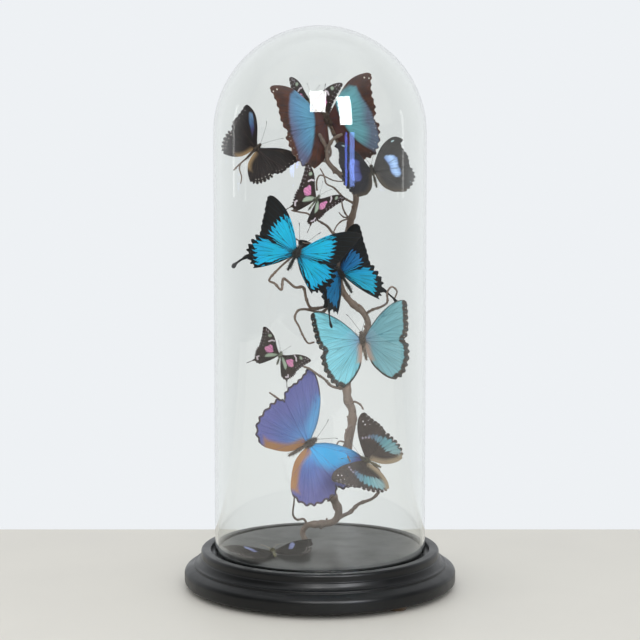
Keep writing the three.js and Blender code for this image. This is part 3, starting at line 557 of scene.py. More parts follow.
# Butterflies. Lengths are shares of a fore wing's length, in the wing's own plane: x outward, y to the head. Outlines
# are x, y, x, y in thousandths. A mark is such a ring, a spot (x, y, radius), or a line, half as wide as "half" says.
wingPlan = {
    "grid": 0.68, "finest": 0.0115, "coarsest": 0.0145, "thickness": 0.12, "foreLayer": 0.16, "hindLayer": -0.12,
    "camber": 0.016, "hinge": 1.5, "foreTeeth": (0.07, 0.155), "hindTeeth": (0.02, 0.14), "root": (0.0, -0.01),
    "fine": 0.006, "veinStep": 0.02, "metal": 0.08,
}
# Where a kind gives its Left and Right wings their own ground, ramp or patch colours, these are painted light and
# shade: one wing colour painted as a lit copy and a shaded copy.
kinds = {
    "brownBanded": {
        "size": 64, "body": ("#6d5644", "#3a2a22"), "under": ("#6a5140", "#3c2c24"),
        "lead": [-10, 20, 60, 100, 150, 190, 270, 310, 400, 440, 520, 530, 650, 585, 780, 610, 880, 610, 925, 580],
        "outer": [925, 580, 910, 500, 880, 400, 870, 300, 865, 200, 865, 100, 845, 10, 800, -55, 770, -75],
        "hindOuter": [760, -70, 810, -85, 845, -140, 840, -220, 820, -320, 790, -420, 730, -530, 650, -620, 550, -660,
            440, -670],
        "inner": [440, -670, 320, -620, 200, -550, 100, -450, 40, -300, 0, -120],
        "teeth": (0.02, 0.03), "ground": ("#5d3426", "#33201a"), "streaks": 26,
        "main": {"marksLeft": [[210, 240, 340, 380, 470, 500, 580, 460, 630, 340, 680, 190, 705, 30, 715, -120, 700,
            -260, 685, -380, 690, -500, 655, -610, 545, -540, 455, -450, 364, -300, 288, -150, 235, -10, 210, 90]],
            "marksRight": [[200, 260, 350, 380, 520, 470, 630, 440, 660, 300, 730, 150, 775, 0, 785, -200, 790, -330,
            770, -450, 690, -570, 545, -480, 425, -375, 340, -280, 270, -160, 230, -20, 200, 120]], "soft": 1.9,
            "ragged": 4.0, "rampLeft": [(0.24, "#6498bc"), (0.45, "#6dabd0"), (0.66, "#6798c2"), (0.86, "#6a6f92")],
            "rampRight": [(0.24, "#6fb0c4"), (0.45, "#7cc4d0"), (0.7, "#74b4c4"), (0.87, "#6c7a94")]},
        "patch": {"marks": [[0, 50, 170, 200, 200, 0, 240, -200, 360, -330, 200, -420, 50, -300]], "soft": 3.0,
            "ragged": 1.5, "colour": "#573430"},
        "spots": {"marks": [(0.8, 0.55, 0.013), (0.872, 0.53, 0.011)], "colour": "#e8e2da",
            "rows": [("hind", 0.075, 0.006)]},
        "veins": (0.3, "#2f3f56", 0.35), "fringe": "#a08a78",
    },
    "pinkSwallowtail": {
        "size": 33, "body": ("#a6ad9a", "#3c3a33"), "under": ("#6f6257", "#352a26"),
        "lead": [-10, 30, 60, 90, 150, 170, 250, 275, 350, 385, 450, 480, 560, 555, 680, 610, 780, 635, 860, 625, 885,
            590],
        "outer": [885, 590, 865, 520, 825, 440, 785, 360, 745, 270, 710, 180, 675, 80, 650, 0, 625, -60],
        "hindOuter": [620, -50, 635, -120, 630, -200, 605, -290, 575, -370, 540, -450, 500, -530, 475, -575],
        "tail": {"path": [455, -600, 490, -670, 530, -750, 570, -830], "neck": 0.02, "club": 0.026, "after": [430,
            -620, 380, -650, 320, -655, 260, -640]},
        "inner": [260, -640, 200, -550, 140, -440, 80, -320, 30, -200, 0, -100],
        "teeth": (0.012, 0.03), "ground": ("#3a2723", "#1d1617"), "streaks": 14,
        "main": {"marks": [[180, 0, 260, 100, 330, 175, 395, 180, 430, 80, 475, 10, 420, -75, 340, -120, 250, -90]],
            "soft": 0.5, "ragged": 0.9, "ramp": [(0.2, "#e6b4cf"), (0.4, "#ee8fcb"), (0.6, "#f09cd0"),
            (0.8, "#f0a0c8")]},
        "patch": {"marks": [[30, 0, 120, -30, 200, -80, 270, -140, 295, -220, 275, -310, 200, -260, 120, -180, 50,
            -110], (0.575, 0.445, 0.05)], "soft": 0.8, "ragged": 1.0, "colour": "#aebfae"},
        "spots": {"marks": [(0.7, 0.55, 0.016), (0.78, 0.58, 0.014), (0.66, 0.5, 0.012)], "colour": "#dccfdc",
            "lines": [[370, 355, 440, 330, 485, 250], [430, -390, 450, -440, 420, -490, 385, -520]], "half": 0.026,
            "rows": [("fore", 0.035, 0.011), ("fore", 0.105, 0.011), ("hind", 0.035, 0.011)]},
        "veins": (0.16, "#1d1617", 0.4), "fringe": "#7a6a5e",
    },
    "darkBrown": {
        "size": 40, "body": ("#5a4a3c", "#231a17"), "under": ("#5d4b3e", "#2b211d"),
        "lead": [-10, 40, 60, 110, 140, 200, 240, 310, 350, 420, 460, 510, 570, 580, 680, 620, 790, 635, 870, 625,
            905, 580],
        "outer": [905, 580, 900, 500, 885, 400, 875, 300, 870, 200, 860, 100, 820, 20, 760, -45, 720, -60],
        "hindOuter": [710, -50, 755, -75, 785, -140, 780, -220, 755, -330, 720, -430, 660, -530, 570, -610, 480,
            -630],
        "inner": [480, -630, 390, -595, 290, -550, 190, -480, 100, -390, 40, -270, 0, -120],
        "teeth": (0.022, 0.04), "ground": ("#241a1b", "#120d0f"), "streaks": 18, "sheen": 0.02,
        "main": {"marksLeft": [[240, 130, 340, 200, 430, 260, 530, 330, 610, 400, 690, 490, 710, 540, 630, 540, 530,
            470, 430, 380, 330, 280]], "marksRight": [], "soft": 1.0, "ragged": 1.8, "ramp": [(0.35, "#2f2440"),
            (0.5, "#4d4c80"), (0.65, "#5b84b8"), (0.82, "#7fa0c8"), (0.95, "#4a6090")]},
        "spots": {"marks": [], "colour": "#cfc8c2", "rows": [("fore", 0.08, 0.008), ("hind", 0.055, 0.014),
            ("hind", 0.12, 0.012)]},
        "warm": {"width": 0.07, "reach": 0.5, "colour": "#b3946e", "soft": 3.4}, "veins": (0.22, "#43352f", 0.5),
        "fringe": "#8b8078",
    },
    "hookTip": {
        "size": 42, "body": ("#5a5347", "#25211d"), "under": ("#66594c", "#2e2723"),
        "lead": [-10, 30, 50, 130, 120, 240, 200, 350, 300, 460, 400, 545, 500, 600, 600, 635, 700, 635, 790, 585,
            860, 510],
        "outer": [860, 510, 810, 480, 775, 430, 775, 360, 800, 260, 830, 160, 830, 60, 810, -20, 790, -80],
        "hindOuter": [790, -70, 815, -140, 835, -220, 840, -310, 820, -400, 770, -480, 700, -560, 620, -620, 520,
            -660],
        "inner": [520, -660, 440, -655, 360, -625, 270, -600, 180, -530, 90, -430, 30, -290, 0, -120],
        "teeth": (0.016, 0.032), "groundLeft": ("#231f27", "#131117"), "groundRight": ("#2f2b2a", "#191718"),
        "streaks": 18,
        "main": {"marksLeft": [[270, 200, 440, 280, 570, 120, 610, -50, 590, -220, 530, -290, 360, -270, 280, -180,
            300, 0]], "marksRight": [[310, 220, 360, 265, 450, 250, 530, 210, 580, 150, 570, 50, 540, -20, 565, -100,
            550, -220, 500, -285, 420, -270, 370, -200, 350, -100, 370, 0, 340, 100]], "soft": 1.2, "ragged": 2.4,
            "rampLeft": [(0.36, "#37325c"), (0.5, "#555ea0"), (0.65, "#6674b8"), (0.8, "#474884")],
            "rampRight": [(0.36, "#4c5080"), (0.47, "#7a98ce"), (0.6, "#a2c0ea"), (0.74, "#6c8ac6")]},
        "spots": {"marks": [(0.68, -0.47, 0.01)], "colour": "#b5d0da", "lines": [[585, 545, 635, 555]],
            "half": 0.014},
        "warm": {"width": 0.07, "colour": "#453b30", "soft": 3.0}, "veins": (0.25, "#2c2829", 0.5),
        "fringe": "#82786f",
    },
    "blueSwallowtail": {
        "size": 57, "body": ("#3d3a36", "#161517"), "under": ("#4a4038", "#221d1b"),
        "lead": [-10, 40, 50, 130, 130, 240, 230, 360, 340, 475, 450, 565, 560, 630, 670, 670, 770, 680, 830, 655],
        "outer": [830, 655, 845, 600, 820, 500, 785, 400, 750, 300, 720, 200, 690, 100, 660, 30, 635, -20],
        "hindOuter": [640, 0, 670, -60, 690, -150, 700, -240, 700, -330, 690, -420, 655, -500, 635, -550],
        "tail": {"path": [610, -570, 650, -660, 680, -740, 700, -820, 700, -900], "neck": 0.034, "club": 0.075,
            "after": [580, -600, 530, -630, 470, -660, 420, -690]},
        "inner": [420, -690, 360, -630, 280, -540, 200, -440, 120, -330, 50, -200, 0, -100],
        "teeth": (0.012, 0.05), "hindPitch": 0.2, "ground": ("#141314", "#060607"), "streaks": 24,
        "main": {"marks": [[0, 30, 30, 120, 100, 220, 200, 345, 300, 455, 385, 540, 430, 510, 470, 440, 495, 350, 505,
            250, 505, 140, 490, 50, 420, 0, 300, -10, 150, -20, 0, -30], [0, -30, 200, -40, 360, -45, 500, -70, 570,
            -120, 605, -200, 600, -290, 565, -370, 510, -440, 455, -520, 400, -580, 330, -520, 250, -420, 160, -290,
            80, -160]], "rays": (20, 0.05), "soft": 0.3, "ragged": 1.4, "ramp": [(0.05, "#147e96"), (0.2, "#18c2ff"),
            (0.5, "#1cceff"), (0.8, "#1ec4ff")]},
        "patch": {"marks": [(0.45, 0.43, 0.02), [340, -12, 560, 0, 600, -50, 500, -55, 340, -45]], "soft": 0.4,
            "ragged": 0.5, "colour": "#101013"},
        "veins": (0.24, "#0f2c3c", 0.75), "fringe": "#2a2828",
    },
    "paleMorpho": {
        "size": 55, "body": ("#8f7f72", "#4d4038"), "under": ("#7d6a5a", "#43362f"),
        "lead": [-10, 0, 70, 100, 150, 200, 250, 310, 350, 410, 460, 500, 570, 575, 680, 630, 780, 655, 860, 650, 900,
            615],
        "outer": [900, 615, 905, 540, 900, 430, 890, 320, 875, 200, 855, 100, 820, 10, 770, -35, 740, -45],
        "hindOuter": [730, -40, 785, -55, 820, -110, 830, -200, 815, -320, 790, -420, 740, -540, 670, -655, 580, -735,
            480, -760],
        "inner": [480, -760, 380, -735, 280, -680, 180, -590, 90, -480, 30, -330, 0, -120],
        "teeth": (0.016, 0.03), "groundLeft": ("#3a302b", "#1f1a18"), "groundRight": ("#5a4c43", "#352b26"),
        "streaks": 30,
        "main": {"margin": (0.088, 0.082), "costa": 0.014, "inner": 0.035, "soft": 0.8, "ragged": 2.4,
            "rampLeft": [(0.03, "#8f9cc0"), (0.16, "#82b6d6"), (0.4, "#84d2e8"), (0.85, "#92dff2")],
            "rampRight": [(0.03, "#929ab2"), (0.16, "#84a8be"), (0.4, "#84bccb"), (0.85, "#8fc8d6")]},
        "spots": {"marks": [], "colour": "#d8dad4", "rows": [("fore", 0.04, 0.008), ("hind", 0.035, 0.005)]},
        "warm": {"width": 0.09, "reach": 0.4, "colour": "#bfa69c", "soft": 3.0}, "veins": (0.3, "#3c7488", 0.55),
        "fringe": "#8f8378",
    },
    "violetMorpho": {
        "size": 63, "body": ("#6a5a4f", "#372c28"), "under": ("#7b624c", "#3f3028"),
        "lead": [-10, 30, 50, 120, 110, 220, 200, 330, 300, 420, 420, 510, 540, 575, 670, 620, 790, 640, 880, 630,
            940, 590],
        "outer": [940, 590, 925, 520, 890, 430, 875, 330, 870, 220, 865, 120, 840, 30, 785, -25, 745, -35],
        "hindOuter": [730, -35, 785, -50, 825, -120, 825, -250, 800, -380, 770, -500, 710, -610, 620, -690, 520, -735,
            430, -730],
        "inner": [430, -730, 340, -690, 240, -600, 140, -490, 60, -370, 20, -250, 0, -120],
        "teeth": (0.018, 0.028), "ground": ("#4a3430", "#2a2230"), "streaks": 30,
        "main": {"margin": (0.03, 0.03), "costa": 0.024, "inner": 0.01, "soft": 0.7, "ragged": 1.0,
            "rampLeft": [(0.05, "#4f86cc"), (0.22, "#5a8ccc"), (0.45, "#5670b2"), (0.8, "#6265a8")],
            "rampRight": [(0.05, "#4a9ade"), (0.22, "#4c8cd4"), (0.45, "#4c64aa"), (0.8, "#5c5c9a")]},
        "patch": {"marksLeft": [[0, 0, 100, 180, 280, 400, 460, 530, 500, 470, 360, 280, 200, 80]], "marksRight": [[0,
            0, 120, 200, 300, 420, 520, 560, 570, 400, 540, 200, 460, 20, 300, -70, 100, -60]], "soft": 6.0,
            "ragged": 8.0, "colourLeft": "#56a2dc", "colourRight": "#2aa6e6"},
        "warm": {"width": 0.115, "reach": 0.76, "colour": "#a0724a", "soft": 3.0}, "veins": (0.3, "#414a96", 0.5),
        "fringe": "#3f3540",
    },
    "bandedBrown": {
        "size": 41, "body": ("#7a7158", "#3a332a"), "under": ("#8a7762", "#43362d"),
        "lead": [-10, 30, 60, 120, 140, 220, 240, 330, 340, 430, 450, 520, 560, 590, 670, 640, 770, 655, 850, 640,
            900, 590],
        "outer": [900, 590, 890, 500, 870, 400, 860, 300, 850, 200, 830, 100, 800, 30, 770, -10],
        "hindOuter": [765, -10, 760, -100, 745, -200, 720, -310, 690, -420, 640, -530, 570, -620, 480, -690, 400,
            -710],
        "inner": [400, -710, 310, -670, 210, -590, 120, -480, 50, -340, 0, -120],
        "teeth": (0.018, 0.028), "ground": ("#453632", "#251c1b"), "streaks": 18,
        "main": {"marksLeft": [[370, 160, 450, 180, 520, 100, 560, 0, 575, -150, 565, -300, 550, -450, 500, -580, 420,
            -630, 350, -610, 300, -510, 300, -400, 330, -280, 370, -150, 400, 0]], "marksRight": [[450, 250, 510, 200,
            570, 120, 590, 0, 625, -100, 640, -250, 620, -400, 570, -510, 500, -610, 430, -610, 420, -500, 400, -400,
            370, -300, 400, -200, 450, -50, 470, 100]], "soft": 1.2, "ragged": 3.4, "rays": (16, 0.025),
            "rampBy": "fan", "ramp": [(0.2, "#8aa9b0"), (0.42, "#6aa2b0"), (0.62, "#64829a"), (0.75, "#6a6f8c")]},
        "patch": {"marks": [(0.36, 0.33, 0.026), (0.41, 0.27, 0.026), (0.44, 0.21, 0.022)], "soft": 0.7,
            "ragged": 1.2, "colour": "#9a90a2"},
        "spots": {"marks": [(0.7, 0.52, 0.017), (0.66, 0.44, 0.018), (0.78, 0.43, 0.011), (0.72, 0.35, 0.01)],
            "colour": "#d5ccd2", "rows": [("fore", 0.05, 0.008), ("hind", 0.045, 0.018)]},
        "warm": {"width": 0.11, "colour": "#a08e78", "soft": 2.4}, "veins": (0.22, "#221a1a", 0.5),
        "fringe": "#8f857c",
    },
}
# The right blue swallowtail: painted shade makes its left wings' blue darker than its right wings'.
kinds["shadedSwallowtail"] = {**kinds["blueSwallowtail"],
    "patch": {"marks": [], "soft": 0.4, "colour": "#101013"},
    "main": {"marks": [[0, 20, 50, 80, 120, 130, 250, 190, 360, 250, 450, 280, 500, 220, 515, 120, 500, 40, 400,
        -10, 200, -20, 0, -30], [0, -30, 200, -45, 360, -50, 500, -80, 570, -130, 600, -200, 580, -290, 550, -370,
        480, -460, 430, -530, 360, -540, 280, -450, 180, -320, 90, -170]], "rays": (20, 0.04), "soft": 0.3,
        "ragged": 1.4, "rampBy": "fan", "rampLeft": [(0.2, "#1c78b0"), (0.5, "#2088c4"), (0.6, "#2a86c8"),
        (0.8, "#2070b0")], "rampRight": [(0.2, "#28d2ff"), (0.5, "#28c4ff"), (0.6, "#3094dc"), (0.8, "#2478bc")]}}
kinds["floorBrown"] = {**kinds["darkBrown"],
    "ground": ("#16100f", "#0b0809"), "gloss": 0.04, "sheen": 0.0, "shell": ("#cdbf9f", "#93815f"),
    "body": ("#80784c", "#383624"),
    "warm": {"width": 0, "colour": "#9a7452", "soft": 2.2},
    "main": {"marks": [[300, -20, 350, 200, 410, 420, 470, 500, 490, 300, 430, 100, 380, -50]], "soft": 0.9,
        "ragged": 1.4, "ramp": [(0.35, "#5a5c8c"), (0.6, "#8f98cc"), (0.8, "#7a86bc")]}}
# Each butterfly: kind, size and place in mm, then turn, tip and spin, and each side's lift and swing, in degrees.
insects = {
    "brown_banded_morpho": ("brownBanded", "banded_morpho_wing", 64, (7, 15, 442), (2, 9, -25), (42, 37), (15, -12)),
    "top_pink_swallowtail": ("pinkSwallowtail", "pink_swallowtail_wing", 33, (-9, 38, 462), (8, 13, 7), (31, 26),
        (1, 3)),
    "violet_streaked_brown": ("darkBrown", "dark_brown_wing", 40, (-60, 12, 415), (-3, 7, 46), (23, 21), (-2, -3)),
    "hook_tipped_black": ("hookTip", "hook_tipped_wing", 42, (48, -28, 392), (12, -22, -10), (21, 7), (4, 3)),
    "middle_pink_swallowtail": ("pinkSwallowtail", "pink_swallowtail_wing", 33, (-3, -26, 366), (-27, -12, 38),
        (2, 21), (-3, -2)),
    "large_blue_swallowtail": ("blueSwallowtail", "blue_swallowtail_wing", 57, (-21, -44, 317), (-11, 30, 29),
        (-4, -7), (6, 7)),
    "right_blue_swallowtail": ("shadedSwallowtail", "blue_swallowtail_wing", 56, (20, 26, 296), (8, 3, -31), (48, 44),
        (20, 0)),
    "pale_blue_morpho": ("paleMorpho", "pale_morpho_wing", 55, (41, 20, 233), (1, 8, -11), (25, 25), (3, -2)),
    "left_pink_swallowtail": ("pinkSwallowtail", "pink_swallowtail_wing", 33, (-37, -20, 221), (-21, 29, 28),
        (13, 20), (17, -3)),
    "violet_morpho": ("violetMorpho", "violet_morpho_wing", 63, (-10, -25, 139), (32, -12, 67), (3, 9), (-4, 5)),
    "blue_banded_brown": ("bandedBrown", "banded_brown_wing", 41, (43, -22, 123), (13, -12, -62), (28, 19), (-1, -3)),
    "floor_butterfly": ("floorBrown", "dark_brown_wing", 44, (-44, -31, 38.4), (10, -90, 0), (1, 5), (-8, 0)),
}


def sideways(line):
    step = np.gradient(line, axis=0)
    return np.column_stack([-step[:, 1], step[:, 0]]) / np.linalg.norm(step, axis=1)[:, None]


def toothed(curve, start, pitch, depth):
    share = np.linspace(0, 1, len(curve))
    wear = 1 + 0.3 * np.sin(share * 23 + start * 40) + 0.15 * np.sin(share * 61)  # no two teeth are quite alike
    cut = depth * wear * np.sin(math.pi * (share - start) / pitch) ** 2
    cut = cut * np.clip(np.minimum(share, 1 - share) / 0.06, 0, 1)
    return curve - sideways(curve) * cut[:, None]


def tailSides(tail, base):
    line = smoothCurve(outline(tail["path"]), 0.008)
    neck, club = tail["neck"] / 2, tail["club"] / 2
    widths = {0: base / 2, 0.28: neck, 0.6: neck * 1.1, 0.82: club, 0.94: club * 0.85, 0.985: club * 0.4, 1: 0.001}
    half = np.interp(np.linspace(0, 1, len(line)), list(widths), list(widths.values()))[:, None]
    outward = sideways(line)
    return line + outward * half, (line - outward * half)[::-1]


def wingShape(look, part):
    fine = wingPlan["fine"]
    root = np.array(wingPlan["root"])
    if part == "fore":
        lead, edge = smoothCurve(outline(look["lead"]), fine), outline(look["outer"])
        start, pitch = wingPlan["foreTeeth"]
        outer = toothed(smoothCurve(edge, fine), start, pitch, look["teeth"][0])
        x, y = edge[-1]
        rear = smoothCurve([(x, y), (x * 0.6, y * 0.6 - 0.03), (0.16, -0.055), (-0.01, -0.04)], fine)
        loop = np.vstack([lead[:-1], outer[:-1], rear])
        top, low = alongCurve(lead, 0.6) * 0.8 + (0.02, -0.04), alongCurve(outer, 0.69) * 0.5 + (0, 0.04)
        ends = [alongCurve(outer, start + pitch * k) for k in range(7)]
        stems = [(top * 0.7, alongCurve(lead, 0.7)), (top * 0.85, alongCurve(lead, 0.8)),
                 (top, alongCurve(lead, 0.9)), (top, ends[0]), (top, ends[1]), ((top + low) / 2, ends[2]),
                 (low, ends[3]), (low * 0.82, ends[4]), (low * 0.55, ends[5]), (root, ends[6] + (-0.01, 0.02))]
    else:
        lead, edge = None, outline(look["hindOuter"])
        start, pitch = wingPlan["hindTeeth"]
        outer = toothed(smoothCurve(edge, fine), start, look.get("hindPitch", pitch), look["teeth"][1])
        x, y = edge[0]
        front = smoothCurve([(-0.01, -0.02), (0.25, 0.05), (0.55, 0.075), (x - 0.06, y + 0.06), (x, y)], fine)
        sides = [front[:-1], outer]
        if "tail" in look:
            after = toothed(smoothCurve(outline(look["tail"]["after"]), fine), 0, 0.5, look["teeth"][1])
            sides += [*tailSides(look["tail"], np.linalg.norm(outer[-1] - after[0])), after]
            outer = np.vstack([outer, after])
        rear = smoothCurve(outline(look["inner"]), fine)
        loop = np.vstack(sides + [rear[1:]])
        ends = [alongCurve(outer, start + pitch * k) for k in range(8)]
        top, low = ends[1] * 0.48 + (0, 0.01), ends[5] * 0.5
        middle = (top + low) / 2
        stems = [(top * 0.7, ends[0]), (top, ends[1]), (top, ends[2]), (middle, ends[3]),
                 (middle * 0.6 + low * 0.4, ends[4]), (low, ends[5]), (low * 0.75, ends[6]), (root, ends[7] * 0.985),
                 (root, alongCurve(rear, 0.35) * 0.97)]
    step = wingPlan["veinStep"]
    veins = [smoothCurve([root, top * 0.5 + (-0.005, 0.012), top], step),
             smoothCurve([root, low * 0.5 - (0, 0.006), low], step)]
    for start, end in stems:
        span = np.array(end) - start
        bow = np.array([-span[1], span[0]]) * 0.05
        veins.append(smoothCurve([start, start + span * 0.5 + bow, end], step))
    return {"loop": loop, "outer": outer, "lead": lead, "rear": rear, "veins": veins}


def rowSpots(look, part, inset, radius):
    edge = smoothCurve(outline(look["outer" if part == "fore" else "hindOuter"]), wingPlan["fine"])
    start, pitch = wingPlan[part + "Teeth"]
    spots = []
    for number in range(6):
        share = start + pitch * (number + 0.5)
        step = alongCurve(edge, min(share + 0.01, 1)) - alongCurve(edge, share - 0.01)
        inward = np.array([step[1], -step[0]]) / np.linalg.norm(step)
        spots.append((*(alongCurve(edge, share) + inward * inset), radius))
    return spots


def markDepth(points, marks, lines=(), half=0.0):
    depth = np.full(len(points), -1.0)
    for mark in marks:
        if isinstance(mark, tuple):
            depth = np.maximum(depth, mark[2] - np.linalg.norm(points - mark[:2], axis=1))
        else:
            depth = np.maximum(depth, depthInside(points, outline(mark)))
    for line in lines:
        depth = np.maximum(depth, half - distanceTo(points, outline(line)))
    return depth


def wingMesh(loop, fixed, grid):
    fixed = fixed[depthInside(fixed, loop) > grid * 0.45]
    low, high = loop.min(0), loop.max(0)
    columns, rows = np.arange(low[0], high[0], grid), np.arange(low[1], high[1], grid * 0.866)
    hexes = np.array([(x + (grid / 2 if index % 2 else 0), y) for index, y in enumerate(rows) for x in columns])
    hexes = hexes[depthInside(hexes, loop) > grid * 0.55]
    tree = kdtree.KDTree(len(fixed) + 1)
    kept = []
    for index, point in enumerate(fixed):
        if not kept or tree.find((*point, 0))[2] > grid * 0.4:
            kept.append(point)
            tree.insert((*point, 0), index)
            tree.balance()
    free = np.array([point for point in hexes if tree.find((*point, 0))[2] > grid * 0.62])
    given = [Vector(point) for point in np.vstack([loop, kept, free])]
    rimEdges = [(at, (at + 1) % len(loop)) for at in range(len(loop))]
    verts, _, triangles, _, _, _ = geometry.delaunay_2d_cdt(given, rimEdges, [], 0, 1e-7, False)
    points, triangles = np.array(verts), np.array(triangles)
    triangles = triangles[isInside(points[triangles].mean(1), loop)]
    a, b, c = (points[triangles[:, k]] for k in range(3))
    flip = np.cross(b - a, c - a) < 0
    triangles[flip] = triangles[flip][:, ::-1]
    return points, triangles


def buildWing(look, part, side):
    shape, size = wingShape(look, part), look["size"]
    grid = min(max(wingPlan["grid"] / size, wingPlan["finest"]), wingPlan["coarsest"])
    loop = evenly(np.vstack([shape["loop"], shape["loop"][:1]]), grid * 0.8)[:-1]
    spotRule = look.get("spots", {})
    spots = list(spotRule.get("marks", []))
    for rowPart, inset, radius in spotRule.get("rows", []):
        if rowPart == part:
            spots += rowSpots(look, part, inset, radius)
    fixed = [evenly(vein, grid) for vein in shape["veins"]]
    ring = np.linspace(0, 2 * math.pi, 9)[:-1]
    around = np.column_stack([np.cos(ring), np.sin(ring)])
    for x, y, radius in spots:
        fixed += [np.array([[x, y]]), around * radius + (x, y), around * radius * 1.5 + (x, y)]
    points, triangles = wingMesh(loop, np.vstack(fixed), grid)

    root = np.array(wingPlan["root"])
    rim = distanceTo(points, shape["outer"][::3])
    away = np.linalg.norm(points - root, axis=1)
    toRear = distanceTo(points, shape["rear"][::3])
    vein = np.minimum.reduce([distanceTo(points, line) for line in shape["veins"]])
    # The fore wing's rear edge joins the vein lines, so it takes the vein colour: a painted shadow line where the
    # fore wing lies over the hind wing.
    if part == "fore":
        vein = np.minimum(vein, toRear * 0.45)
    main, patch = look["main"], look.get("patch", {})
    marks = main.get("marks" + side, main.get("marks"))
    if marks is not None:
        depth = markDepth(points, marks)
    else:
        isFore = part == "fore"
        bare = distanceTo(points, shape["lead"][::3]) - main["costa"] if isFore else toRear - main["inner"]
        depth = np.minimum(rim - main["margin"][part == "hind"], bare)
    warm = look.get("warm", {"width": 0})
    nearBody = np.minimum(warm["width"] - toRear, warm.get("reach", 9) - away) * size
    return points * size, triangles, {
        "main": depth * size, "rim": rim * size, "vein": vein * size,
        "patch": markDepth(points, patch.get("marks" + side, patch.get("marks", []))) * size,
        "spots": markDepth(points, spots, spotRule.get("lines", []), spotRule.get("half", 0)) * size,
        "warm": nearBody if part == "hind" and warm["width"] else np.full(len(points), -9.0),
        "reach": away / (away + rim),
        "fan": (np.arctan2(points[:, 1] - root[1], points[:, 0] + 0.05) + 1.3) / 2.4,
        "plane": np.column_stack([points * size, np.full(len(points), 10.0 if part == "fore" else 90.0)])}


def layerShare(add, depth, streak, soft, ragged):
    rough = add("Math MULTIPLY_ADD", {0: streak, 1: ragged, 2: depth})
    return add("MapRange", {"interpolation_type": "SMOOTHSTEP", "Value": rough,
                            "range": (-soft + ragged / 2, soft + ragged / 2)})


# A dried wing: scales like roof tiles, dull and velvety where brown, with a metal-like shine where blue.
def makeUpper(kindName, look, side):
    material, add = newMaterial(kindName + side + "Upper")
    fields = {field: add("Attribute", {"attribute_name": field}).outputs["Fac"]
              for field in ("main", "patch", "spots", "warm", "rim", "vein", "reach", "fan")}
    plane = add("Attribute", {"attribute_name": "plane"}).outputs["Vector"]
    turned = add("Math MULTIPLY", {0: fields["fan"], 1: look["streaks"] * 2.4})
    drawn = add("Math MULTIPLY", {0: fields["reach"], 1: 2.2})
    streakAt = add("CombineXYZ", {"X": turned, "Y": drawn})
    streak = add("TexNoise", {"Scale": 1, "Detail": 4, "Roughness": 0.6, "Vector": streakAt})
    scales = add("TexNoise", {"Scale": 3.2, "Detail": 2, "Vector": plane})
    worn = add("TexNoise", {"Scale": 0.12, "Detail": 4, "Vector": plane})
    tone = add("Math MULTIPLY_ADD", {0: streak, 1: 0.5, 2: add("Math MULTIPLY", {0: worn, 1: 0.5})})
    spread = add("MapRange", {"range": (0.38, 0.62), "Value": tone})
    # The two sides of one insect are one material, so a side's own ground, ramp or patch colour is painted light and
    # shade: one side painted as lit, the other as shaded.
    pale, deep = look.get("ground" + side, look.get("ground"))
    colour = add("Mix RGBA", {0: spread, 6: deep, 7: pale})
    main, mainDepth = look["main"], fields["main"]
    if "rays" in main:
        count, reach = main["rays"]
        drift = add("Math MULTIPLY", {0: worn, 1: 2.0})
        fan = add("Math MULTIPLY_ADD", {0: fields["fan"], 1: count, 2: drift})
        wave = add("Math PINGPONG", {0: fan, 1: 0.5})
        point = add("MapRange", {"range": (0, 0.5, -reach * look["size"], reach * look["size"]), "Value": wave})
        mainDepth = add("Math", {0: mainDepth, 1: point})
    stops = main.get("ramp" + side, main.get("ramp"))
    ramp = add("ValToRGB", {"stops": stops, "Fac": fields[main.get("rampBy", "reach")]})
    shine = add("MapRange", {"range": (0.3, 0.7, 0.74, 1.2), "Value": streak})
    lit = add("VectorMath SCALE", {0: ramp, "Scale": shine})
    mainShare = layerShare(add, mainDepth, streak, main["soft"], main["ragged"])
    # The vein colour also paints the fore wing's rear edge: a painted shadow line where it lies over the hind wing.
    width, veinAndShadeColour, strength = look["veins"]
    veinAndShadeShare = add("MapRange", {"range": (width, width * 0.3, 0, strength), "Value": fields["vein"]})
    between = add("MapRange", {"range": (1.1, 1.8), "Value": fields["vein"]})
    fringe = add("MapRange", {"range": (0.5, 0.3), "Value": fields["rim"]})
    layers = [(mainShare, lit)]
    for name in ("patch", "warm"):
        if name in look:
            layer = look[name]
            share = layerShare(add, fields[name], streak, layer["soft"], layer.get("ragged", 1.5))
            layers.append((share, layer.get("colour" + side, layer.get("colour"))))
    layers.append((veinAndShadeShare, veinAndShadeColour))
    if "spots" in look:
        layers.append((layerShare(add, fields["spots"], scales, 0.12, 0.25), look["spots"]["colour"]))
    layers.append((add("Math MULTIPLY", {0: between, 1: fringe}), look["fringe"]))
    for share, painted in layers:
        colour = add("Mix RGBA", {0: share, 6: colour, 7: painted})
    grains = add("MapRange", {"range": (0.3, 0.7, 0.88, 1.12), "Value": scales})
    colour = add("VectorMath SCALE", {0: colour, "Scale": grains})
    metal = add("Math MULTIPLY", {0: mainShare, 1: wingPlan["metal"]})
    rough = add("MapRange", {"range": (0, 1, 0.62, 0.42), "Value": mainShare})
    ridge = add("MapRange", {"range": (0.5, 0.0, 0, 1.2), "Value": fields["vein"]})
    relief = add("Math MULTIPLY_ADD", {0: scales, 1: 0.35, 2: ridge})
    bump = add("Bump", {"Strength": 0.35, "Distance": 0.00025, "Height": relief})
    add("OutputMaterial", {"Surface": add("BsdfPrincipled", {
        "Specular IOR Level": look.get("gloss", 0.3), "Sheen Weight": look.get("sheen", 0.06), "Base Color": colour,
        "Metallic": metal, "Roughness": rough, "Normal": bump})})
    return material


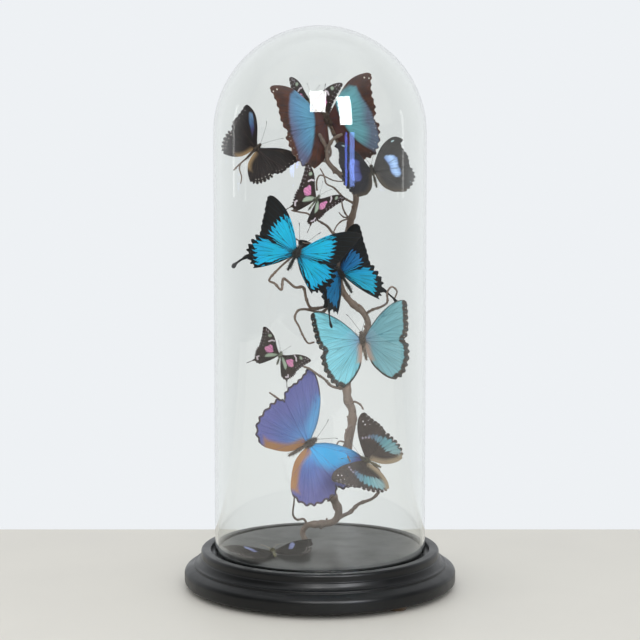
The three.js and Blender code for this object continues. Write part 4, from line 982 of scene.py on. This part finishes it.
# The underside is plain and mottled like dead leaves.
def makeUnder(kindName, look, side):
    material, add = newMaterial(kindName + side + "Under")
    plane = add("Attribute", {"attribute_name": "plane"}).outputs["Vector"]
    vein = add("Attribute", {"attribute_name": "vein"}).outputs["Fac"]
    rim = add("Attribute", {"attribute_name": "rim"}).outputs["Fac"]
    light, dark = look["under"]
    mottle = add("TexNoise", {"Scale": 0.35, "Detail": 5, "Roughness": 0.65, "Vector": plane})
    waves = add("TexWave", {"Scale": 0.1, "Distortion": 3, "Vector": add("CombineXYZ", {"X": rim})}).outputs["Fac"]
    mixed = add("Math MULTIPLY_ADD", {0: waves, 1: 0.35, 2: mottle})
    spread = add("MapRange", {"range": (0.4, 0.85), "Value": mixed})
    colour = add("Mix RGBA", {0: spread, 6: dark, 7: light})
    # Veins are darker, and so is the fore wing's rear edge: a painted shadow line there too.
    veinAndShadeShare = add("MapRange", {"range": (0.3, 0.1, 0, 0.5), "Value": vein})
    veined = add("Mix RGBA", {0: veinAndShadeShare, 6: colour, 7: dark})
    add("OutputMaterial", {"Surface": add("BsdfPrincipled", {
        "Roughness": 0.7, "Sheen Weight": 0.1, "Base Color": veined})})
    return material


def turnAbout(axis, degrees):
    angle = math.radians(degrees)
    c, s = math.cos(angle), math.sin(angle)
    return np.array({"x": [[1, 0, 0], [0, c, -s], [0, s, c]], "y": [[c, 0, s], [0, 1, 0], [-s, 0, c]],
                     "z": [[c, -s, 0], [s, c, 0], [0, 0, 1]]}[axis])


def placeInsect(points, at, turns):
    matrix = turnAbout("z", turns[0]) @ turnAbout("x", turns[1]) @ turnAbout("y", turns[2]) @ turnAbout("x", 90)
    return (np.asarray(points) @ matrix.T + np.array(at)) * mm


def wingPair(parts, ratio, size, side, lift, swing, seed):
    lift, swing = math.radians(lift), math.radians(swing)
    camber, half = size * wingPlan["camber"], wingPlan["thickness"] / 2
    allPoints, allFaces, allMaterials, allFields, start = [], [], [], {}, 0
    for part, (points, triangles, fields) in parts.items():
        scaled = points * ratio
        x, y = scaled.T
        out = x * math.cos(swing) - y * math.sin(swing)
        along = x * math.sin(swing) + y * math.cos(swing)
        arch = camber * np.sin(np.clip(x / size, 0, 1) * math.pi * 0.9)
        ripple = np.array([noise.noise(Vector((px / size * 3.1 + seed, py / size * 3.1, seed))) for px, py in scaled])
        height = arch + ripple * camber * 0.8 * np.clip(x / size * 3, 0, 1)
        height = height + wingPlan[part + "Layer"]
        for level in (height + half, height - half):
            allPoints.append(np.column_stack([
                side * (wingPlan["hinge"] + out * math.cos(lift) - level * math.sin(lift)), along,
                out * math.sin(lift) + level * math.cos(lift)]))
        count = len(points)
        edges = np.vstack([triangles[:, [0, 1]], triangles[:, [1, 2]], triangles[:, [2, 0]]])
        keys = set(map(tuple, edges.tolist()))
        a, b = np.array([edge for edge in keys if edge[::-1] not in keys]).T
        strip = np.vstack([np.column_stack([b, a, a + count]), np.column_stack([b, a + count, b + count])])
        faces = np.vstack([triangles, triangles[:, ::-1] + count, strip]) + start
        allFaces.append(faces if side > 0 else faces[:, ::-1])
        allMaterials += [0] * len(triangles) + [1] * (len(triangles) + len(strip))
        for field, values in fields.items():
            allFields.setdefault(field, []).extend([values, values])
        start += 2 * count
    return (np.vstack(allPoints), np.vstack(allFaces), allMaterials,
            {field: np.concatenate(values) for field, values in allFields.items()})


# Bodies: a furry thorax, a ringed abdomen, eyes, clubbed antennae and thin folded legs.
bodyPlan = {
    "profile": [(0, -0.4), (0.014, -0.387), (0.022, -0.34), (0.028, -0.24), (0.024, -0.13), (0.021, -0.095),
                (0.035, -0.06), (0.042, -0.015), (0.041, 0.035), (0.03, 0.072), (0.019, 0.088), (0.024, 0.102),
                (0.026, 0.122), (0.017, 0.14), (0, 0.147)],
    "sides": 28, "ring": 0.036, "eye": 0.0145, "hairs": 30e6, "hairLength": 0.0021, "hairRadius": 0.00008, "seed": 7,
    "antenna": (27, 0.37), "antennaRadius": 0.0026, "legRadius": 0.0042, "baseTop": 36.15,
    "legs": [(0.05, 0.06), (0.005, 0.0), (-0.035, -0.07)],  # where each leg starts, and how far it sweeps
    "furRule": {"shape": "hair", "lean": ((-0.45, -0.45, -0.45), (0.45, 0.45, 0.45)), "sizes": (0.5, 1.25)},
}
antennae = {  # spread in degrees and length for those that differ
    "violet_streaked_brown": (30, 0.5), "large_blue_swallowtail": (22, 0.42), "violet_morpho": (24, 0.33),
    "blue_banded_brown": (30, 0.42),
}


# Short scales and hair over a dull dried shell, and the bare hard shell of eyes and legs, with a fine facet pattern.
def makeBodyMaterials(name, look):
    light, dark = look["body"]
    skin, add = newMaterial(name + "Body")
    place = add("TexCoord").outputs["Object"]
    patches = add("TexNoise", {"Scale": 420, "Detail": 4, "Vector": place})
    pile = add("TexNoise", {"Scale": 4200, "Detail": 2, "Vector": place})
    spread = add("MapRange", {"range": (0.35, 0.65), "Value": patches})
    colour = add("Mix RGBA", {0: spread, 6: dark, 7: light})
    bump = add("Bump", {"Strength": 0.6, "Distance": 0.0002, "Height": pile})
    add("OutputMaterial", {"Surface": add("BsdfPrincipled", {
        "Roughness": 0.75, "Sheen Weight": 0.25, "Base Color": colour, "Normal": bump})})

    light, dark = look.get("shell", ("#2a1f1a", "#120e0d"))
    shell, add = newMaterial(name + "Shell")
    facets = add("TexVoronoi", {"Scale": 9000, "Vector": add("TexCoord").outputs["Object"]})
    colour = add("Mix RGBA", {0: facets, 6: light, 7: dark})
    bump = add("Bump", {"Strength": 0.3, "Distance": 0.00005, "Height": facets})
    add("OutputMaterial", {"Surface": add("BsdfPrincipled", {
        "Roughness": 0.32, "Base Color": colour, "Normal": bump})})
    return skin, shell


def joinParts(parts):
    points, faces, materials, start = [], [], [], 0
    for partPoints, partFaces, material in parts:
        points.append(np.asarray(partPoints))
        faces += [[corner + start for corner in face] for face in partFaces]
        materials += [material] * len(partFaces)
        start += len(partPoints)
    return np.vstack(points), faces, materials


def ball(centre, radius, steps=9):
    angles = np.linspace(-math.pi / 2, math.pi / 2, steps)
    profile = [(radius * max(math.cos(a), 0), radius * math.sin(a)) for a in angles]
    profile[0], profile[-1] = (0, -radius), (0, radius)
    points, faces = turnedShell(profile, 14)
    return points + np.array(centre), faces


def makeBody(name, size, at, turns, materials, furTree):
    profile = smoothCurve(bodyPlan["profile"], 0.006)
    radius, along = np.abs(profile[:, 0]), profile[:, 1]
    radius = radius * np.where(along < -0.1, 1 + 0.06 * np.cos((along + 0.1) / bodyPlan["ring"] * 2 * math.pi), 1)
    radius[0] = radius[-1] = 0
    shell, faces = turnedShell(list(zip(radius, along)), bodyPlan["sides"])
    shell = np.column_stack([shell[:, 0], shell[:, 2], -shell[:, 1] * 0.92])
    shell[:, 2] += np.where(shell[:, 1] < -0.1, (shell[:, 1] + 0.1) ** 2 * -0.25, 0)  # the tail droops
    parts = [(shell * size, faces, 0)]
    thin, thick = bodyPlan["antennaRadius"] * size, bodyPlan["legRadius"] * size
    spread, length = antennae.get(name, bodyPlan["antenna"])
    lean = math.radians(spread)
    feeler = [(0.006, 0.135, 0.012), (0.02 + length * 0.4 * math.sin(lean * 0.9), 0.14 + length * 0.4, 0.03),
              (0.02 + length * 0.8 * math.sin(lean), 0.14 + length * 0.8, 0.035),
              (0.02 + length * math.sin(lean * 1.08), 0.14 + length * math.cos(lean * 0.5), 0.03)]
    limbs = [(feeler, [(0, thin * 1.2), (0.85, thin), (0.92, thin * 2.4), (1, thin * 2.2)], 6, size * 0.012)]
    for front, sweep in bodyPlan["legs"]:
        joints = [(0.02, front, -0.03), (0.075, front + sweep * 0.7, -0.055), (0.1, front + sweep, -0.095),
                  (0.085, front + sweep * 1.9, -0.13)]
        limbs.append((joints, [(0, thick), (0.4, thick * 0.75), (1, thick * 0.4)], 5, size * 0.02))
    for side in (-1, 1):
        eyePoints, eyeFaces = ball((side * 0.019, 0.122, 0.004), bodyPlan["eye"])
        parts.append((eyePoints * size, eyeFaces, 1))
        for joints, radii, sides, spacing in limbs:
            path = [(side * x * size, y * size, z * size) for x, y, z in joints]
            points, tubeFaces, _ = tube(path, radii, sides, spacing)
            parts.append((points, tubeFaces, 1))
    points, faces, indices = joinParts(parts)
    placed = placeInsect(points, at, turns)
    placed[:, 2] = np.maximum(placed[:, 2], bodyPlan["baseTop"] * mm)  # no leg goes into the base
    label = camel(name)
    bodyMesh = newMesh(label + "Body", placed, faces, materials, None, indices)
    addPiece(label + "Body", bodyMesh, [name + "_body"])

    share = np.clip(1 - np.abs(shell[:, 1] - 0.01) / 0.11, 0, 1) ** 0.7 + np.where(shell[:, 1] > 0.1, 0.35, 0.05)
    skin = newMesh(label + "BodySkin", placeInsect(shell * size, at, turns), parts[0][1], [materials[0]],
                   {"furShare": share})
    fur = runTree(label + "Fur", skin, furTree, {
        "density": bodyPlan["hairs"] * (50 / size) ** 0.8, "length": bodyPlan["hairLength"] * size / 50,
        "radius": bodyPlan["hairRadius"] * (size / 50) ** 0.5, "seed": bodyPlan["seed"], "material": materials[0],
        "layBack": tuple(placeInsect([(0, -0.9, 0)], (0, 0, 0), turns)[0] / mm)})
    addPiece(label + "Fur", fur)


def makeInsects():
    furTree = makeGrowthTree("shortFur", bodyPlan["furRule"])
    wings, wingMaterials, bodyMaterials = {}, {}, {}
    for kindName, look in kinds.items():
        for side in ("Left", "Right"):
            wings[kindName, side] = {part: buildWing(look, part, side) for part in ("hind", "fore")}
            wingMaterials[kindName, side] = [makeUpper(kindName, look, side), makeUnder(kindName, look, side)]
        bodyMaterials[kindName] = makeBodyMaterials(kindName, look)
    print("wing shapes ready")
    for number, (name, (kindName, slot, size, at, turns, lifts, swings)) in enumerate(insects.items()):
        ratio = size / kinds[kindName]["size"]
        for word, sign, lift, swing in zip(("Left", "Right"), (-1, 1), lifts, swings):
            points, faces, indices, fields = wingPair(wings[kindName, word], ratio, size, sign, lift, swing,
                                                      number * 3.7 + sign)
            label = camel(name) + word + "Wings"
            mesh = newMesh(label, placeInsect(points, at, turns), faces, wingMaterials[kindName, word], fields,
                           indices)
            addPiece(label, mesh, [f"{name}_{word.lower()}_wings"])
        makeBody(name, size, at, turns, bodyMaterials[kindName], furTree)
    print("butterflies ready")


makeStudio()
print("studio ready")
makeBase()
makeFeet()
makeDome()
print("base, feet and dome ready")
makeBranch()
print("branch ready")
makeInsects()
